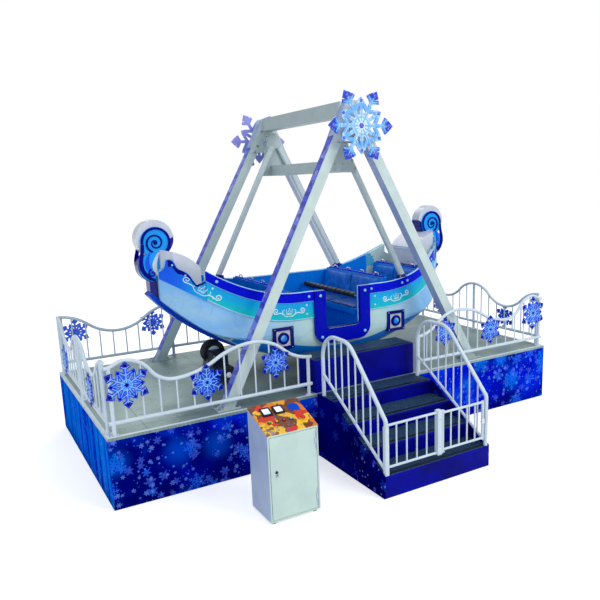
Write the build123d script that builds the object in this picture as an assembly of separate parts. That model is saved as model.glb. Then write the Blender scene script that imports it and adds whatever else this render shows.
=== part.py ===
"""Pirate ship ride: a swinging boat hung in an A-frame on a skirted, fenced platform.

Origin on the ground under the swing axis, +X along the platform, +Y away from the stairs, +Z up.
All sizes are in millimetres.
"""
from build123d import *
from math import atan2, cos, pi, sin, sqrt, tan
import os

# Platform
platform_length = 6100
platform_width = 2860
platform_height = 760
deck_thickness = 30
skirt_thickness = 8
ground_gap = 5
rail_section = 80

# Fences: heights are above the deck
fence_inset = 40
fence_tube_radius = 20
fence_bar_radius = 9
fence_bar_pitch = 170
fence_low_rail = 130
fence_crest = 745
fence_trough = 475
fence_corner_height = 690
fence_stair_height = 450
fence_crest_inset = 190
fence_trough_at = 680
fence_second_crest_at = 1560
side_wave_pitch = 1340
back_wave_pitch = 1430
fence_foot_radius = 42
fence_foot_thickness = 10

# Snowflakes
large_flake_radius = 430
large_flake_plate = 18
large_flake_stand_off = 150
large_flake_spacer_radius = 40
small_flake_plate = 10
large_flake_arm = 0.1
small_flake_arm = 0.13
small_flake_turn = 30
small_flake_radius = 190
corner_flake_radius = 240
corner_flake_at = 2815
corner_flake_rise = 503
middle_flake_radius = 200
middle_flake_at = 2005
middle_flake_rise = 380
stair_flake_at = 1212
stair_flake_rise = 459
back_flake_rise = 510
back_flakes_at = (930, 1765, 2796)
side_flake_rise = 300
side_flakes_at = (-657, 893)

# Stairs
stair_width = 1420
stair_depth = 1340
first_rise = 250
ramp_steps = 4
tread_thickness = 40
nosing_radius = 18
nosing_overhang = 12
riser_thickness = 15
side_panel_thickness = 15
boarding_step_rise = 390
boarding_step_depth = 380
boarding_step_inset = 40
boarding_wall = 20

# Stair rails and gate
handrail_radius = 22
rail_gap = 2
back_post_offset = 92
rail_crest = 1490
rail_crest_length = 560
rail_bend = 280
gate_bend = 50
gate_setback = 30
rail_end = 820
gate_top = 775
gate_bottom = 330
rail_low_back = 1020
rail_low_front = 285
stair_bar_radius = 9
stair_bar_count = 8
gate_post = 56
gate_tube_radius = 16
gate_rail_radius = 13
gate_bar_count = 4
gate_gap = 12
gate_lug = 12
gate_pin_radius = 8
pin_clearance = 0.08
hinge_play = 0.4

# A-frames
foot_spread = 1753
foot_inset = 168
apex_inset = 294
apex_height = 4010
leg_width = 120
leg_depth = 130
foot_plate_length = 270
foot_plate_width = 180
foot_plate_thickness = 15
head_plate_thickness = 14
head_plate_drop = 420
beam_width = 150
beam_height = 170
beam_rise = 45

# Swing axle and bearings
pivot_height = 3760
axle_radius = 35
bearing_clearance = 0.08
bearing_radius = 85
bearing_length = 60

# Hangers
hanger_offset = 828
hanger_plate_thickness = 20
hanger_plate_drop = 500
hanger_hub_radius = 85
hanger_plate_half_bottom = 245
hanger_boss_radius = 60
swing_play = 5
rod_section = 70
rod_corner = 18
rod_start = 120
rod_foot_spread = 960
bracket_height = 70
bracket_length = 130
bracket_width = 60
cross_tube_section = 140
cross_tube_drop = 430

# Hull
half_beam = 850
hull_wall = 40
keel_radius = 2870
keel_thickness = 50
keel_half_width = 110
keel_reach = 49.5
hull_sweep = 70
bilge_radius = 300
parallel_length = 900
hull_end = 2060
stem_half_width = 150
cavity_end = 1880
sheer_height = 1855
sheer_flat = 600
sheer_radius = 1833
gunwale_depth = 110
gunwale_proud = 25
gunwale_end = 1660
waist_depth = 220
waist_proud = 12
bow_board_gap = 6
bow_low = 1845
bow_low_end = 2090
bow_wave = (
    (0, 2080),
    (85, 2045),
    (148, 2150),
    (202, 2198),
    (245, 2225),
    (285, 2310),
    (318, 2325),
    (350, 2240),
    (400, 2170),
    (500, 2140),
)

# Boat door and windows
door_half_width = 250
door_sill = 1370
trim_width = 150
trim_bottom = 1190
trim_corner = 165
trim_proud = 50
window_at = 830
window_height = 1330
window_size = 270
window_frame = 38
window_proud = 22
window_disc_radius = 72

# Bow decks and scroll ends
bow_deck_start = 1600
bow_deck_low = 1950
bow_deck_front = 2200
bow_deck_shoulder = 90
bow_deck_back = 2430
bow_deck_half_width = 300
scroll_x = 2050
scroll_z = 2520
scroll_radius = 175
curl_x = 2090
curl_z = 2230
curl_radius = 170
stem_step = 95
stem_top = 2100
core_half_width = 80
scroll_margin = 45
scroll_core_rise = 35
curl_margin = 8
relief_thickness = 22

# Boat interior
floor_height = 1100
floor_thickness = 40
loose_fit = 0.3
bench_inner_front = 270
bench_outer_front = 1010
bench_inner_seat = 1530
bench_outer_seat = 1560
bench_depth = 380
bench_pan = 70
bench_back_height = 370
bench_back = 70
bench_rake = 70
bench_side_gap = 80
bench_pedestal_front = 60
bench_pedestal = 220
cheek_margin = 45
cheek_thickness = 30

# Lap bars
bar_radius = 16
pad_radius = 34
bar_pivot_back = 30
bar_pivot_rise = 60
bar_reach = 290
bar_rise = 110
bar_side_gap = 10
bar_eye_radius = 26
bar_pin_radius = 12

# Drive
tyre_radius = 150
tyre_width = 110
tyre_at = 1420
tyre_keel_gap = 6
hub_radius = 80
drive_axle_radius = 20
drive_play = 5
drive_stand_thickness = 12
drive_stand_length = 300
motor_radius = 105
motor_length = 250
motor_rise = 140
gearbox_size = 200

# Control cabinet
cabinet_x = -1615
cabinet_gap = 721
cabinet_width = 530
cabinet_depth = 430
cabinet_front_height = 885
cabinet_back_height = 1035
cabinet_wall = 12
cabinet_foot_height = 25
cabinet_foot_radius = 22
panel_plate = 12
door_gap = 5
door_margin = 20
door_plate = 12
hinge_radius = 8
hinge_pin_radius = 3.5
hinge_length = 60
hinge_inset = 120

# Places worked out from the sizes above
deck_top = platform_height
half_length = platform_length / 2
half_width = platform_width / 2
fence_x = half_length - fence_inset
fence_y = half_width - fence_inset
stair_half = stair_width / 2
stair_front = -half_width - stair_depth
step_run = stair_depth / ramp_steps
step_rise = (platform_height - first_rise) / (ramp_steps - 1)
tread_half = stair_half - side_panel_thickness
rail_x = tread_half - rail_gap - handrail_radius
gate_y = stair_front + gate_setback
hinge_x = gate_post / 2 + gate_gap + gate_tube_radius
foot_y = half_width - foot_inset
apex_y = half_width - apex_inset
hull_bottom_radius = keel_radius - keel_thickness
reach = 6000


def block(x0, x1, y0, y1, z0, z1):
    """A block between two corners, given in any order."""
    size = Box(abs(x1 - x0), abs(y1 - y0), abs(z1 - z0))
    return Pos((x0 + x1) / 2, (y0 + y1) / 2, (z0 + z1) / 2) * size


def bar_x(y, z, x0, x1, radius):
    """A round bar along X."""
    return Pos((x0 + x1) / 2, y, z) * Rot(0, 90, 0) * Cylinder(radius, abs(x1 - x0))


def bar_y(x, z, y0, y1, radius):
    """A round bar along Y."""
    return Pos(x, (y0 + y1) / 2, z) * Rot(90, 0, 0) * Cylinder(radius, abs(y1 - y0))


def bar_z(x, y, z0, z1, radius):
    """A round bar along Z."""
    return Pos(x, y, (z0 + z1) / 2) * Cylinder(radius, abs(z1 - z0))


def bar_between(start, end, radius):
    """A round bar between two points."""
    line = Line(start, end)
    return sweep(Plane(origin=start, z_dir=line % 0) * Circle(radius), path=line)


def face_of(*lines):
    """A face bounded by lines and arcs that join end to end."""
    return make_face([edge for line in lines for edge in line.edges()])


def slab_xz(points, y0, y1):
    """A polygon in X and Z with thickness along Y."""
    face = make_face(Polyline([(x, y0, z) for x, z in points], close=True))
    return extrude(face, amount=y1 - y0, dir=(0, 1, 0))


def slab_yz(points, x0, x1):
    """A polygon in Y and Z with thickness along X."""
    face = make_face(Polyline([(x0, y, z) for y, z in points], close=True))
    return extrude(face, amount=x1 - x0, dir=(1, 0, 0))


def across(shape):
    """The mirror image on the other long side."""
    return mirror(shape, about=Plane.XZ)


def other_end(shape):
    """The mirror image at the other end."""
    return mirror(shape, about=Plane.YZ)


def save(name, *shapes):
    """Write one node from one or more shapes that don't touch."""
    solids = [solid for shape in shapes for solid in shape.solids()]
    node = solids[0] if len(solids) == 1 else Compound(children=solids)
    export_step(node, os.path.join("parts", name + ".step"))


# Base frame, deck and skirts
frame_top = platform_height - deck_thickness
frame_x = half_length - skirt_thickness
frame_y = half_width - skirt_thickness
cross_places = [-(frame_x - rail_section / 2), -foot_spread, 0, foot_spread, frame_x - rail_section / 2]


def base_long_rails():
    rails = []
    for side in (-1, 1):
        for low in (0, frame_top - rail_section):
            inner = side * (frame_y - rail_section)
            rails.append(block(-frame_x, frame_x, inner, side * frame_y, low, low + rail_section))
    return rails


def base_cross_members():
    inner = frame_y - rail_section
    half = rail_section / 2
    members = []
    for x in cross_places:
        for low in (0, frame_top - rail_section):
            members.append(block(x - half, x + half, -inner, inner, low, low + rail_section))
    return members


def base_posts():
    half = rail_section / 2
    high = frame_top - rail_section
    posts = []
    for x in cross_places:
        for side in (-1, 1):
            inner = side * (frame_y - rail_section)
            posts.append(block(x - half, x + half, inner, side * frame_y, rail_section, high))
    return posts


def deck():
    return block(-half_length, half_length, -half_width, half_width, frame_top, deck_top)


def skirt(x0, x1, y0, y1):
    return block(x0, x1, y0, y1, ground_gap, frame_top)


# Fences: a panel is drawn upwards from x = 0 and then placed
def wave_height(points, x):
    """Height of a wavy rail made of equal arcs that are level at each crest and trough."""
    for (x0, z0), (x1, z1) in zip(points, points[1:]):
        if x0 <= x <= x1:
            run = x1 - x0
            rise = z1 - z0
            radius = (run * run + rise * rise) / (4 * abs(rise))
            up = 1 if rise > 0 else -1
            if x - x0 <= run / 2:
                return z0 + up * (radius - sqrt(radius * radius - (x - x0) ** 2))
            return z1 - up * (radius - sqrt(radius * radius - (x1 - x) ** 2))
    return points[-1][1]


def wave_rail(points):
    """The wavy top rail of a fence."""
    edges = []
    for (x0, z0), (x1, z1) in zip(points, points[1:]):
        middle = ((x0 + x1) / 2, 0, (z0 + z1) / 2)
        first = TangentArc((x0, 0, z0), middle, tangent=(1, 0, 0))
        edges.append(first)
        edges.append(TangentArc(middle, (x1, 0, z1), tangent=first % 1))
    section = Plane(origin=(0, 0, points[0][1]), z_dir=(1, 0, 0)) * Circle(fence_tube_radius)
    return sweep(section, path=Wire([edge for line in edges for edge in line.edges()]))


def fence_panel(points, posts):
    """A wavy top rail and a straight low rail with posts and upright bars between them."""
    length = points[-1][0]
    panel = wave_rail(points) + bar_x(0, fence_low_rail, 0, length, fence_tube_radius)
    for x in posts:
        panel += bar_z(x, 0, 0, wave_height(points, x), fence_tube_radius)
        panel += bar_z(x, 0, 0, fence_foot_thickness, fence_foot_radius)
    count = round(length / fence_bar_pitch)
    for i in range(1, count):
        x = i * length / count
        if min(abs(x - post) for post in posts) > fence_tube_radius + 3 * fence_bar_radius:
            panel += bar_z(x, 0, fence_low_rail, wave_height(points, x), fence_bar_radius)
    return panel


def front_fence():
    """From the left front corner to the stairs."""
    length = fence_x - stair_half - fence_foot_radius
    points = [
        (0, fence_corner_height),
        (fence_crest_inset, fence_crest),
        (fence_trough_at, fence_trough),
        (fence_second_crest_at, fence_crest - 25),
        (length, fence_stair_height),
    ]
    posts = [fence_foot_radius, length - fence_foot_radius]
    return Pos(-fence_x, -fence_y, deck_top) * fence_panel(points, posts)


def waves(length, pitch):
    """Crests at both ends and about every pitch between, with troughs half way."""
    halves = 2 * round(length / pitch)
    heights = (fence_crest, fence_trough)
    return [(i * length / halves, heights[i % 2]) for i in range(halves + 1)]


def side_fence():
    """At the right end of the platform."""
    length = 2 * (fence_y - 2 * fence_tube_radius)
    posts = [fence_foot_radius, length / 2, length - fence_foot_radius]
    panel = fence_panel(waves(length, side_wave_pitch), posts)
    return Pos(fence_x, -length / 2, deck_top) * Rot(0, 0, 90) * panel


def back_fence():
    length = 2 * fence_x
    posts = [fence_foot_radius, length / 4, length / 2, 3 * length / 4, length - fence_foot_radius]
    return Pos(-fence_x, fence_y, deck_top) * fence_panel(waves(length, back_wave_pitch), posts)


# Snowflakes
def flake(radius, thickness, arm_share):
    """A six-armed snowflake facing -Y, its back face at y = 0, two of its arms level."""
    arm = radius * arm_share
    tip = radius - sqrt(2) * arm
    shape = RegularPolygon(radius * 0.32, 6)
    for i in range(6):
        main = Rot(0, 0, 60 * i)
        minor = Rot(0, 0, 60 * i + 30)
        shape += main * Pos(tip / 2, 0) * Rectangle(tip, arm)
        shape += main * Pos(tip, 0) * Rot(0, 0, 45) * Rectangle(2 * arm, 2 * arm)
        for along, length in ((0.4, 0.3), (0.68, 0.22)):
            for turn in (-60, 60):
                branch = Pos(radius * along, 0) * Rot(0, 0, turn) * Pos(radius * length / 2, 0)
                shape += main * branch * Rectangle(radius * length, arm)
        shape += minor * Pos(radius * 0.36, 0) * Rectangle(radius * 0.5, arm)
        shape += minor * Pos(radius * 0.62, 0) * Rot(0, 0, 45) * Rectangle(1.4 * arm, 1.4 * arm)
    return extrude(Rot(90, 0, 0) * shape, amount=thickness, dir=(0, -1, 0))


def fence_flake(radius):
    """A small snowflake with two of its arms upright."""
    return Rot(0, small_flake_turn, 0) * flake(radius, small_flake_plate, small_flake_arm)


def fence_flakes():
    """Snowflakes on the outer side of the fences."""
    flakes = []
    outside = fence_y + fence_tube_radius
    front = (
        (corner_flake_at, corner_flake_rise, corner_flake_radius),
        (middle_flake_at, middle_flake_rise, middle_flake_radius),
        (stair_flake_at, stair_flake_rise, small_flake_radius),
    )
    for side in (-1, 1):
        for x, rise, radius in front:
            flakes.append(Pos(side * x, -outside, deck_top + rise) * fence_flake(radius))
        for x in back_flakes_at:
            turned = Rot(0, 0, 180) * fence_flake(small_flake_radius)
            flakes.append(Pos(side * x, outside, deck_top + back_flake_rise) * turned)
        for y in side_flakes_at:
            turned = Rot(0, 0, side * 90) * fence_flake(small_flake_radius)
            flakes.append(Pos(side * (fence_x + fence_tube_radius), y, deck_top + side_flake_rise) * turned)
    return flakes


# A-frames: drawn for the near side, mirrored for the far side
frame_lean = atan2(foot_y - apex_y, apex_height - deck_top)
apex_up = (apex_height - deck_top) / cos(frame_lean)
leg_slope = foot_spread / apex_up
leg_half = leg_width / 2 * sqrt(1 + leg_slope * leg_slope)
near_frame = Plane(
    origin=(0, -foot_y, deck_top), x_dir=(1, 0, 0), z_dir=(0, -cos(frame_lean), sin(frame_lean)))
head_top = apex_height + beam_rise
plate_outer = leg_depth / 2 + head_plate_thickness


def in_frame(points, inner, outer):
    """A polygon in the leaning plane of the near A-frame, with thickness along its normal."""
    face = make_face(Polyline([(u, v, inner) for u, v in points], close=True))
    return near_frame.location * extrude(face, amount=outer - inner, dir=(0, 0, 1))


def frame_side(inner, outer):
    """A thick layer in the leaning plane of the near A-frame."""
    return in_frame([(-reach, -reach), (reach, -reach), (reach, reach), (-reach, reach)], inner, outer)


def frame_face(height, offset):
    """The y of a layer of the near A-frame, an offset out from its middle, at a height."""
    middle = foot_y - (height - deck_top) * tan(frame_lean)
    return -(middle + offset / cos(frame_lean))


def near_leg():
    """The left leg of the near A-frame with its foot plate."""
    below = -leg_width
    above = apex_up + leg_width
    left_low = -leg_slope * (apex_up - below)
    left_high = leg_slope * (above - apex_up)
    outline = [
        (left_low - leg_half, below),
        (left_low + leg_half, below),
        (left_high + leg_half, above),
        (left_high - leg_half, above),
    ]
    foot_top = deck_top + foot_plate_thickness
    keep = block(-reach, 0, -reach, 0, foot_top, head_top)
    bar = in_frame(outline, -leg_depth / 2, leg_depth / 2) & keep
    plate = block(
        -foot_spread - foot_plate_length / 2, -foot_spread + foot_plate_length / 2,
        -foot_y - foot_plate_width / 2, -foot_y + foot_plate_width / 2, deck_top, foot_top)
    return bar + plate


def near_head():
    """Inner and outer head plates, with the axle bearing on the inner one."""
    up = apex_up + beam_rise / cos(frame_lean)
    down = apex_up - head_plate_drop
    wide = leg_slope * head_plate_drop + leg_half
    outline = [(-wide, down), (wide, down), (beam_width / 2, up), (-beam_width / 2, up)]
    keep = block(-reach, reach, -reach, 0, 0, head_top)
    inner_plate = in_frame(outline, -plate_outer, -leg_depth / 2) & keep
    outer_plate = in_frame(outline, leg_depth / 2, plate_outer) & keep
    face = frame_face(pivot_height, -plate_outer)
    housing = bar_y(0, pivot_height, face - leg_depth / 2, face + bearing_length, bearing_radius)
    housing -= frame_side(-leg_depth / 2 - head_plate_thickness / 2, reach)
    bore = bar_y(0, pivot_height, -half_width, 0, axle_radius + bearing_clearance)
    return inner_plate + housing - bore, outer_plate


def top_beam():
    """The box beam between the two heads."""
    bar = block(-beam_width / 2, beam_width / 2, -half_width, half_width, head_top - beam_height, head_top)
    outside = frame_side(-plate_outer, reach)
    return bar - outside - across(outside)


def near_flake():
    """The large snowflake on a spacer in front of the near head."""
    face = frame_face(pivot_height, plate_outer)
    back = face - large_flake_stand_off
    plate = Pos(0, back, pivot_height) * flake(large_flake_radius, large_flake_plate, large_flake_arm)
    spacer = bar_y(0, pivot_height, back, face + leg_depth / 2, large_flake_spacer_radius)
    spacer -= frame_side(-reach, plate_outer)
    return plate + spacer


# Stairs
def nosed_slab(x0, x1, y0, y1, z0, z1):
    """A slab with a rounded top front edge at y0."""
    slab = block(x0, x1, y0, y1, z0, z1)
    front = slab.edges().filter_by(Axis.X).sort_by(Axis.Z)[-2:].sort_by(Axis.Y)[0]
    return fillet(front, nosing_radius)


def step_fronts():
    """Front edge and top of each step, from the lowest up."""
    return [(stair_front + i * step_run, first_rise + i * step_rise) for i in range(ramp_steps)]


def stair_treads():
    treads = []
    for i, (front, top) in enumerate(step_fronts()):
        back = front + step_run
        if i < ramp_steps - 1:
            back += nosing_overhang
        treads.append(nosed_slab(-tread_half, tread_half, front, back, top - tread_thickness, top))
    return treads


def stair_risers():
    risers = []
    low = ground_gap
    for front, top in step_fronts():
        face = front + nosing_overhang
        high = top - tread_thickness
        risers.append(block(-tread_half, tread_half, face, face + riser_thickness, low, high))
        low = high
    return risers


def stair_side():
    """The panel that closes the left side, its top edge along the noses of the treads."""
    top_front = step_fronts()[-1][0] + nosing_overhang
    front = stair_front + nosing_overhang
    outline = [
        (-half_width, ground_gap),
        (front, ground_gap),
        (front, first_rise),
        (top_front, platform_height),
        (-half_width, platform_height),
    ]
    return slab_yz(outline, -stair_half, -tread_half)


def boarding_step():
    """The hollow box step on the deck beside the boat's door."""
    front = -half_width + boarding_step_inset
    back = front + boarding_step_depth
    top = deck_top + boarding_step_rise
    shell = nosed_slab(-stair_half, stair_half, front, back, deck_top, top)
    w = boarding_wall
    return shell - block(-stair_half + w, stair_half - w, front + w, back - w, deck_top - w, top - w)


# Stair rails and gate
rail_back_y = -half_width - back_post_offset


def tube_path(points, radii):
    """A round-cornered path through points in Y and Z at x = 0."""
    return FilletPolyline([(0, y, z) for y, z in points], radius=radii)


def rail_line(y):
    """Height of the middle of the handrail."""
    slope_start = rail_back_y - rail_crest_length
    if y < slope_start:
        return rail_crest + (y - slope_start) * (rail_crest - rail_end) / (slope_start - gate_y)
    into_bend = max(0, y - (rail_back_y - rail_bend))
    return rail_crest - rail_bend + sqrt(rail_bend * rail_bend - into_bend * into_bend)


def low_line(y):
    """Height of the middle of the low rail."""
    return rail_low_back + (y - rail_back_y) * (rail_low_back - rail_low_front) / (rail_back_y - gate_y)


def stair_rail():
    """The left handrail: an arched top tube that ends on the treads, a low rail and upright bars."""
    corners = [
        (rail_back_y, platform_height),
        (rail_back_y, rail_crest),
        (rail_back_y - rail_crest_length, rail_crest),
        (gate_y, rail_end),
        (gate_y, first_rise),
    ]
    path = tube_path(corners, [rail_bend, rail_bend, gate_bend])
    rail = sweep(Pos(0, rail_back_y, platform_height) * Circle(handrail_radius), path=path)
    rail += bar_between((0, rail_back_y, rail_low_back), (0, gate_y, rail_low_front), gate_tube_radius)
    span = gate_y - rail_back_y
    for i in range(1, stair_bar_count + 1):
        y = rail_back_y + span * i / (stair_bar_count + 1)
        rail += bar_z(0, y, low_line(y), rail_line(y) - stair_bar_radius, stair_bar_radius)
    return Pos(-rail_x, 0, 0) * rail


def gate_bars(x0, x1, low, high):
    """Upright bars spread evenly between two uprights."""
    bars = []
    for i in range(1, gate_bar_count + 1):
        x = x0 + (x1 - x0) * i / (gate_bar_count + 1)
        bars.append(bar_z(x, gate_y, low, high, stair_bar_radius))
    return bars


def gate_fixed_panel():
    """The fixed left half across the stairs, with the thick post in the middle."""
    half = gate_post / 2
    low = gate_bottom - gate_tube_radius
    panel = block(-half, half, gate_y - half, gate_y + half, low, gate_top + gate_tube_radius)
    for z in (gate_top, gate_bottom):
        panel += bar_x(gate_y, z, -rail_x, 0, gate_rail_radius)
    for bar in gate_bars(-rail_x, -half, gate_bottom, gate_top):
        panel += bar
    r = gate_tube_radius
    for z in (gate_bottom - gate_lug, gate_top):
        panel += block(0, hinge_x + r, gate_y - r, gate_y + r, z, z + gate_lug)
    panel += bar_z(hinge_x, gate_y, gate_bottom - gate_lug / 2, gate_top + gate_lug / 2, gate_pin_radius)
    return panel - bar_z(-rail_x, gate_y, 0, rail_crest, handrail_radius)


def stair_gate():
    """The hinged right half: a frame of tubes with a bored hinge stile."""
    low = gate_bottom + hinge_play
    high = gate_top - hinge_play
    free = rail_x - handrail_radius - gate_gap - gate_tube_radius
    leaf = bar_z(hinge_x, gate_y, low, high, gate_tube_radius)
    leaf += bar_z(free, gate_y, low, high, gate_tube_radius)
    for z in (low + gate_tube_radius, high - gate_tube_radius):
        leaf += bar_x(gate_y, z, hinge_x, free, gate_rail_radius)
    for bar in gate_bars(hinge_x, free, low + gate_tube_radius, high - gate_tube_radius):
        leaf += bar
    return leaf - bar_z(hinge_x, gate_y, low - 1, high + 1, gate_pin_radius + pin_clearance)


# Hull: a section turned about the swing axis, cut to the boat's plan and sheer
def swept_section(half, bottom, bilge):
    """The hull's cross section turned about the swing axis."""
    z_top = (pivot_height + sheer_height) / 2
    z_low = pivot_height - bottom
    outline = FilletPolyline(
        [(0, half, z_top), (0, half, z_low), (0, -half, z_low), (0, -half, z_top)], radius=[bilge, bilge])
    face = face_of(outline, Line((0, -half, z_top), (0, half, z_top)))
    swing_axis = Axis((0, 0, pivot_height), (0, 1, 0))
    return revolve(face.rotate(swing_axis, -hull_sweep), axis=swing_axis, revolution_arc=2 * hull_sweep)


def plan_prism(inset):
    """The boat's outline seen from above, drawn in by an inset, as a tall prism."""
    half = half_beam - inset
    end = hull_end - inset
    run = hull_end - parallel_length
    drop = half_beam - stem_half_width
    radius = (run * run + drop * drop) / (2 * drop) - inset
    low = half - (radius - sqrt(radius * radius - (end - parallel_length) ** 2))
    middle_x = parallel_length + (end - parallel_length) / 2
    middle_y = half - (radius - sqrt(radius * radius - (middle_x - parallel_length) ** 2))
    edges = []
    for sx, sy in ((1, 1), (-1, -1)):
        edges.append(Line((-sx * parallel_length, sy * half), (sx * parallel_length, sy * half)))
        edges.append(ThreePointArc(
            (sx * parallel_length, sy * half), (sx * middle_x, sy * middle_y), (sx * end, sy * low)))
        edges.append(Line((sx * end, sy * low), (sx * end, -sy * low)))
        edges.append(ThreePointArc(
            (sx * end, -sy * low), (sx * middle_x, -sy * middle_y), (sx * parallel_length, -sy * half)))
    return extrude(face_of(*edges), amount=reach, dir=(0, 0, 1))


def below_sheer(drop):
    """Everything under the boat's top line, lowered by a drop."""
    end = sheer_flat + 0.9 * sheer_radius
    rise = sheer_radius - sqrt(sheer_radius ** 2 - (end - sheer_flat) ** 2)
    high = sheer_height + rise
    level = Line((-sheer_flat, sheer_height), (sheer_flat, sheer_height))
    right = TangentArc((sheer_flat, sheer_height), (end, high), tangent=(1, 0))
    left = TangentArc((-sheer_flat, sheer_height), (-end, high), tangent=(-1, 0))
    rest = Polyline((end, high), (end, -reach), (-end, -reach), (-end, high))
    face = Rot(90, 0, 0) * face_of(level, right, left, rest)
    return Pos(0, -reach / 2, -drop) * extrude(face, amount=reach, dir=(0, 1, 0))


def both_ends(shape):
    return shape + other_end(shape)


def bow_profile():
    """Everything under the waved top between the gunwale and the scroll, at the left end."""
    line = [(-gunwale_end - x, -reach, z) for x, z in bow_wave]
    start = line[0]
    end = line[-1]
    rest = Polyline(start, (start[0], -reach, 0), (end[0], -reach, 0), end)
    return extrude(face_of(Spline(*line), rest), amount=2 * reach, dir=(0, 1, 0))


def boat_profile():
    """Side view of the whole boat's top line, as a wide prism."""
    middle = below_sheer(0) & block(-gunwale_end, gunwale_end, -reach, reach, 0, reach)
    return middle + both_ends(bow_profile())


def layer(radius_in, radius_out):
    """A ring about the swing axis across the whole boat."""
    ring = bar_y(0, pivot_height, -half_width, half_width, radius_out)
    return ring - bar_y(0, pivot_height, -half_width, half_width, radius_in)


profile = boat_profile()
hull_outer = (swept_section(half_beam, hull_bottom_radius, bilge_radius) & plan_prism(0)) & profile
hull_cavity = (
    swept_section(half_beam - hull_wall, hull_bottom_radius - hull_wall, bilge_radius - hull_wall)
    & plan_prism(hull_wall)) & block(-cavity_end, cavity_end, -half_width, half_width, 0, reach)
door_cut = block(-door_half_width, door_half_width, -half_width, 0, door_sill, reach)
hull_skin = hull_outer - hull_cavity - door_cut
upright_part = layer(reach / 100, hull_bottom_radius - bilge_radius)


def hull_bottom():
    """The curved bottom of the boat with its rounded bilges."""
    return hull_skin - upright_part


def hull_side(side, end):
    """One quarter of the boat's upright sides."""
    return (hull_skin & upright_part) & block(0, end * reach, 0, side * reach, 0, reach)


def side_boards(proud, start, depth):
    """Boards along both sides, between two lines under the sheer, standing proud of the hull."""
    boards = plan_prism(-proud) - plan_prism(0)
    boards &= block(-gunwale_end, gunwale_end, -half_width, half_width, 0, reach)
    boards = (boards & below_sheer(start)) - below_sheer(start + depth)
    trim_outer = door_half_width + trim_width
    return boards - block(-trim_outer, trim_outer, -half_width, 0, 0, reach)


def bow_boards():
    """Boards with a waved top at both ends of both sides."""
    boards = plan_prism(-waist_proud) - plan_prism(0)
    start = -gunwale_end - bow_board_gap
    outline = [(start, bow_low), (-hull_end, bow_low_end), (-hull_end, reach), (start, reach)]
    return both_ends(boards & slab_xz(outline, -half_width, half_width)) & profile


def keel_band():
    """The running band under the hull, struck about the swing axis."""
    spread = reach * tan(keel_reach * pi / 180)
    wedge = slab_xz(
        [(0, pivot_height), (-spread, pivot_height - reach), (spread, pivot_height - reach)],
        -keel_half_width, keel_half_width)
    return layer(hull_bottom_radius, keel_radius) & wedge


def u_shape(half, bottom, corner, thickness):
    """A U shape in X and Z that runs up past the sheer, with thickness towards -Y."""
    top = sheer_height + gunwale_depth
    corners = [(-half, 0, top), (-half, 0, bottom), (half, 0, bottom), (half, 0, top)]
    face = face_of(FilletPolyline(corners, radius=corner), Line(corners[-1], corners[0]))
    return extrude(face, amount=thickness, dir=(0, -1, 0))


def door_trim():
    """The thick trim round the boat's door."""
    outer = u_shape(door_half_width + trim_width, trim_bottom, trim_corner, trim_proud)
    inner = u_shape(door_half_width, door_sill, trim_corner / 3, trim_proud)
    return (Pos(0, -half_beam, 0) * (outer - inner)) & below_sheer(0)


def windows():
    """Square frames round a disc, two on each side."""
    half = window_size / 2
    inner = half - window_frame
    front = -half_beam - window_proud
    back = -half_beam + window_proud
    x = -window_at
    z = window_height
    frame = block(x - half, x + half, front, back, z - half, z + half)
    frame -= block(x - inner, x + inner, front, back, z - inner, z + inner)
    disc = bar_y(x, z, front, back, window_disc_radius)
    near = [frame, disc, other_end(frame), other_end(disc)]
    return [(piece + across(piece)) - hull_outer for piece in near]


def bow_deck():
    """The closed deck at the left end, rising to the scroll."""
    low = Line((-scroll_x, 0, bow_deck_low), (-bow_deck_start, 0, bow_deck_low))
    front = Line((-bow_deck_start, 0, bow_deck_low), (-bow_deck_start, 0, bow_deck_front))
    top = Spline(
        (-bow_deck_start, 0, bow_deck_front),
        (-bow_deck_start - bow_deck_shoulder, 0, bow_deck_front + bow_deck_shoulder),
        (-scroll_x, 0, bow_deck_back))
    back = Line((-scroll_x, 0, bow_deck_back), (-scroll_x, 0, bow_deck_low))
    half = bow_deck_half_width
    body = Pos(0, -half, 0) * extrude(face_of(low, front, top, back), amount=2 * half, dir=(0, 1, 0))
    shape = (body & plan_prism(hull_wall)) - hull_outer
    room = block(-cavity_end, 0, -half_width, half_width, 0, reach)
    inside = (body & plan_prism(hull_wall)) & room
    return (shape + inside) - scroll_core()


def scroll_shape(scroll_rise, scroll_grow, curl_grow, y0, y1):
    """Side view of the left scroll and the curl under it, each grown by a margin, with a thickness."""
    shape = bar_y(-scroll_x, scroll_z + scroll_rise, y0, y1, scroll_radius + scroll_grow)
    return shape + bar_y(-curl_x, curl_z, y0, y1, curl_radius + curl_grow)


def arc_height(x):
    """Height of the hull's bottom at a distance from its middle."""
    return pivot_height - sqrt(hull_bottom_radius ** 2 - x ** 2)


def scroll_core():
    """The thick core of the left scroll, standing on the boat's stem."""
    w = core_half_width
    tip = hull_end + stem_step
    outline = [
        (-hull_end, curl_z),
        (-tip, stem_top),
        (-tip, arc_height(tip)),
        (-hull_end, arc_height(hull_end)),
    ]
    core = scroll_shape(scroll_core_rise, scroll_margin, curl_margin, -w, w) + slab_xz(outline, -w, w)
    return (core - hull_outer) & layer(reach / 100, hull_bottom_radius)


def scroll_reliefs():
    """Raised boards on both faces of the left scroll core."""
    outer = -core_half_width - relief_thickness
    board = scroll_shape(0, 0, 0, outer, -core_half_width) - (plan_prism(-waist_proud) & profile)
    board -= bow_deck()
    return [board, across(board)]


# Boat interior
def boat_room():
    """The space inside the hull that the floor and benches may fill."""
    clear = hull_wall + loose_fit
    room = swept_section(half_beam - clear, hull_bottom_radius - clear, bilge_radius - clear)
    return room & plan_prism(clear)


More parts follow.
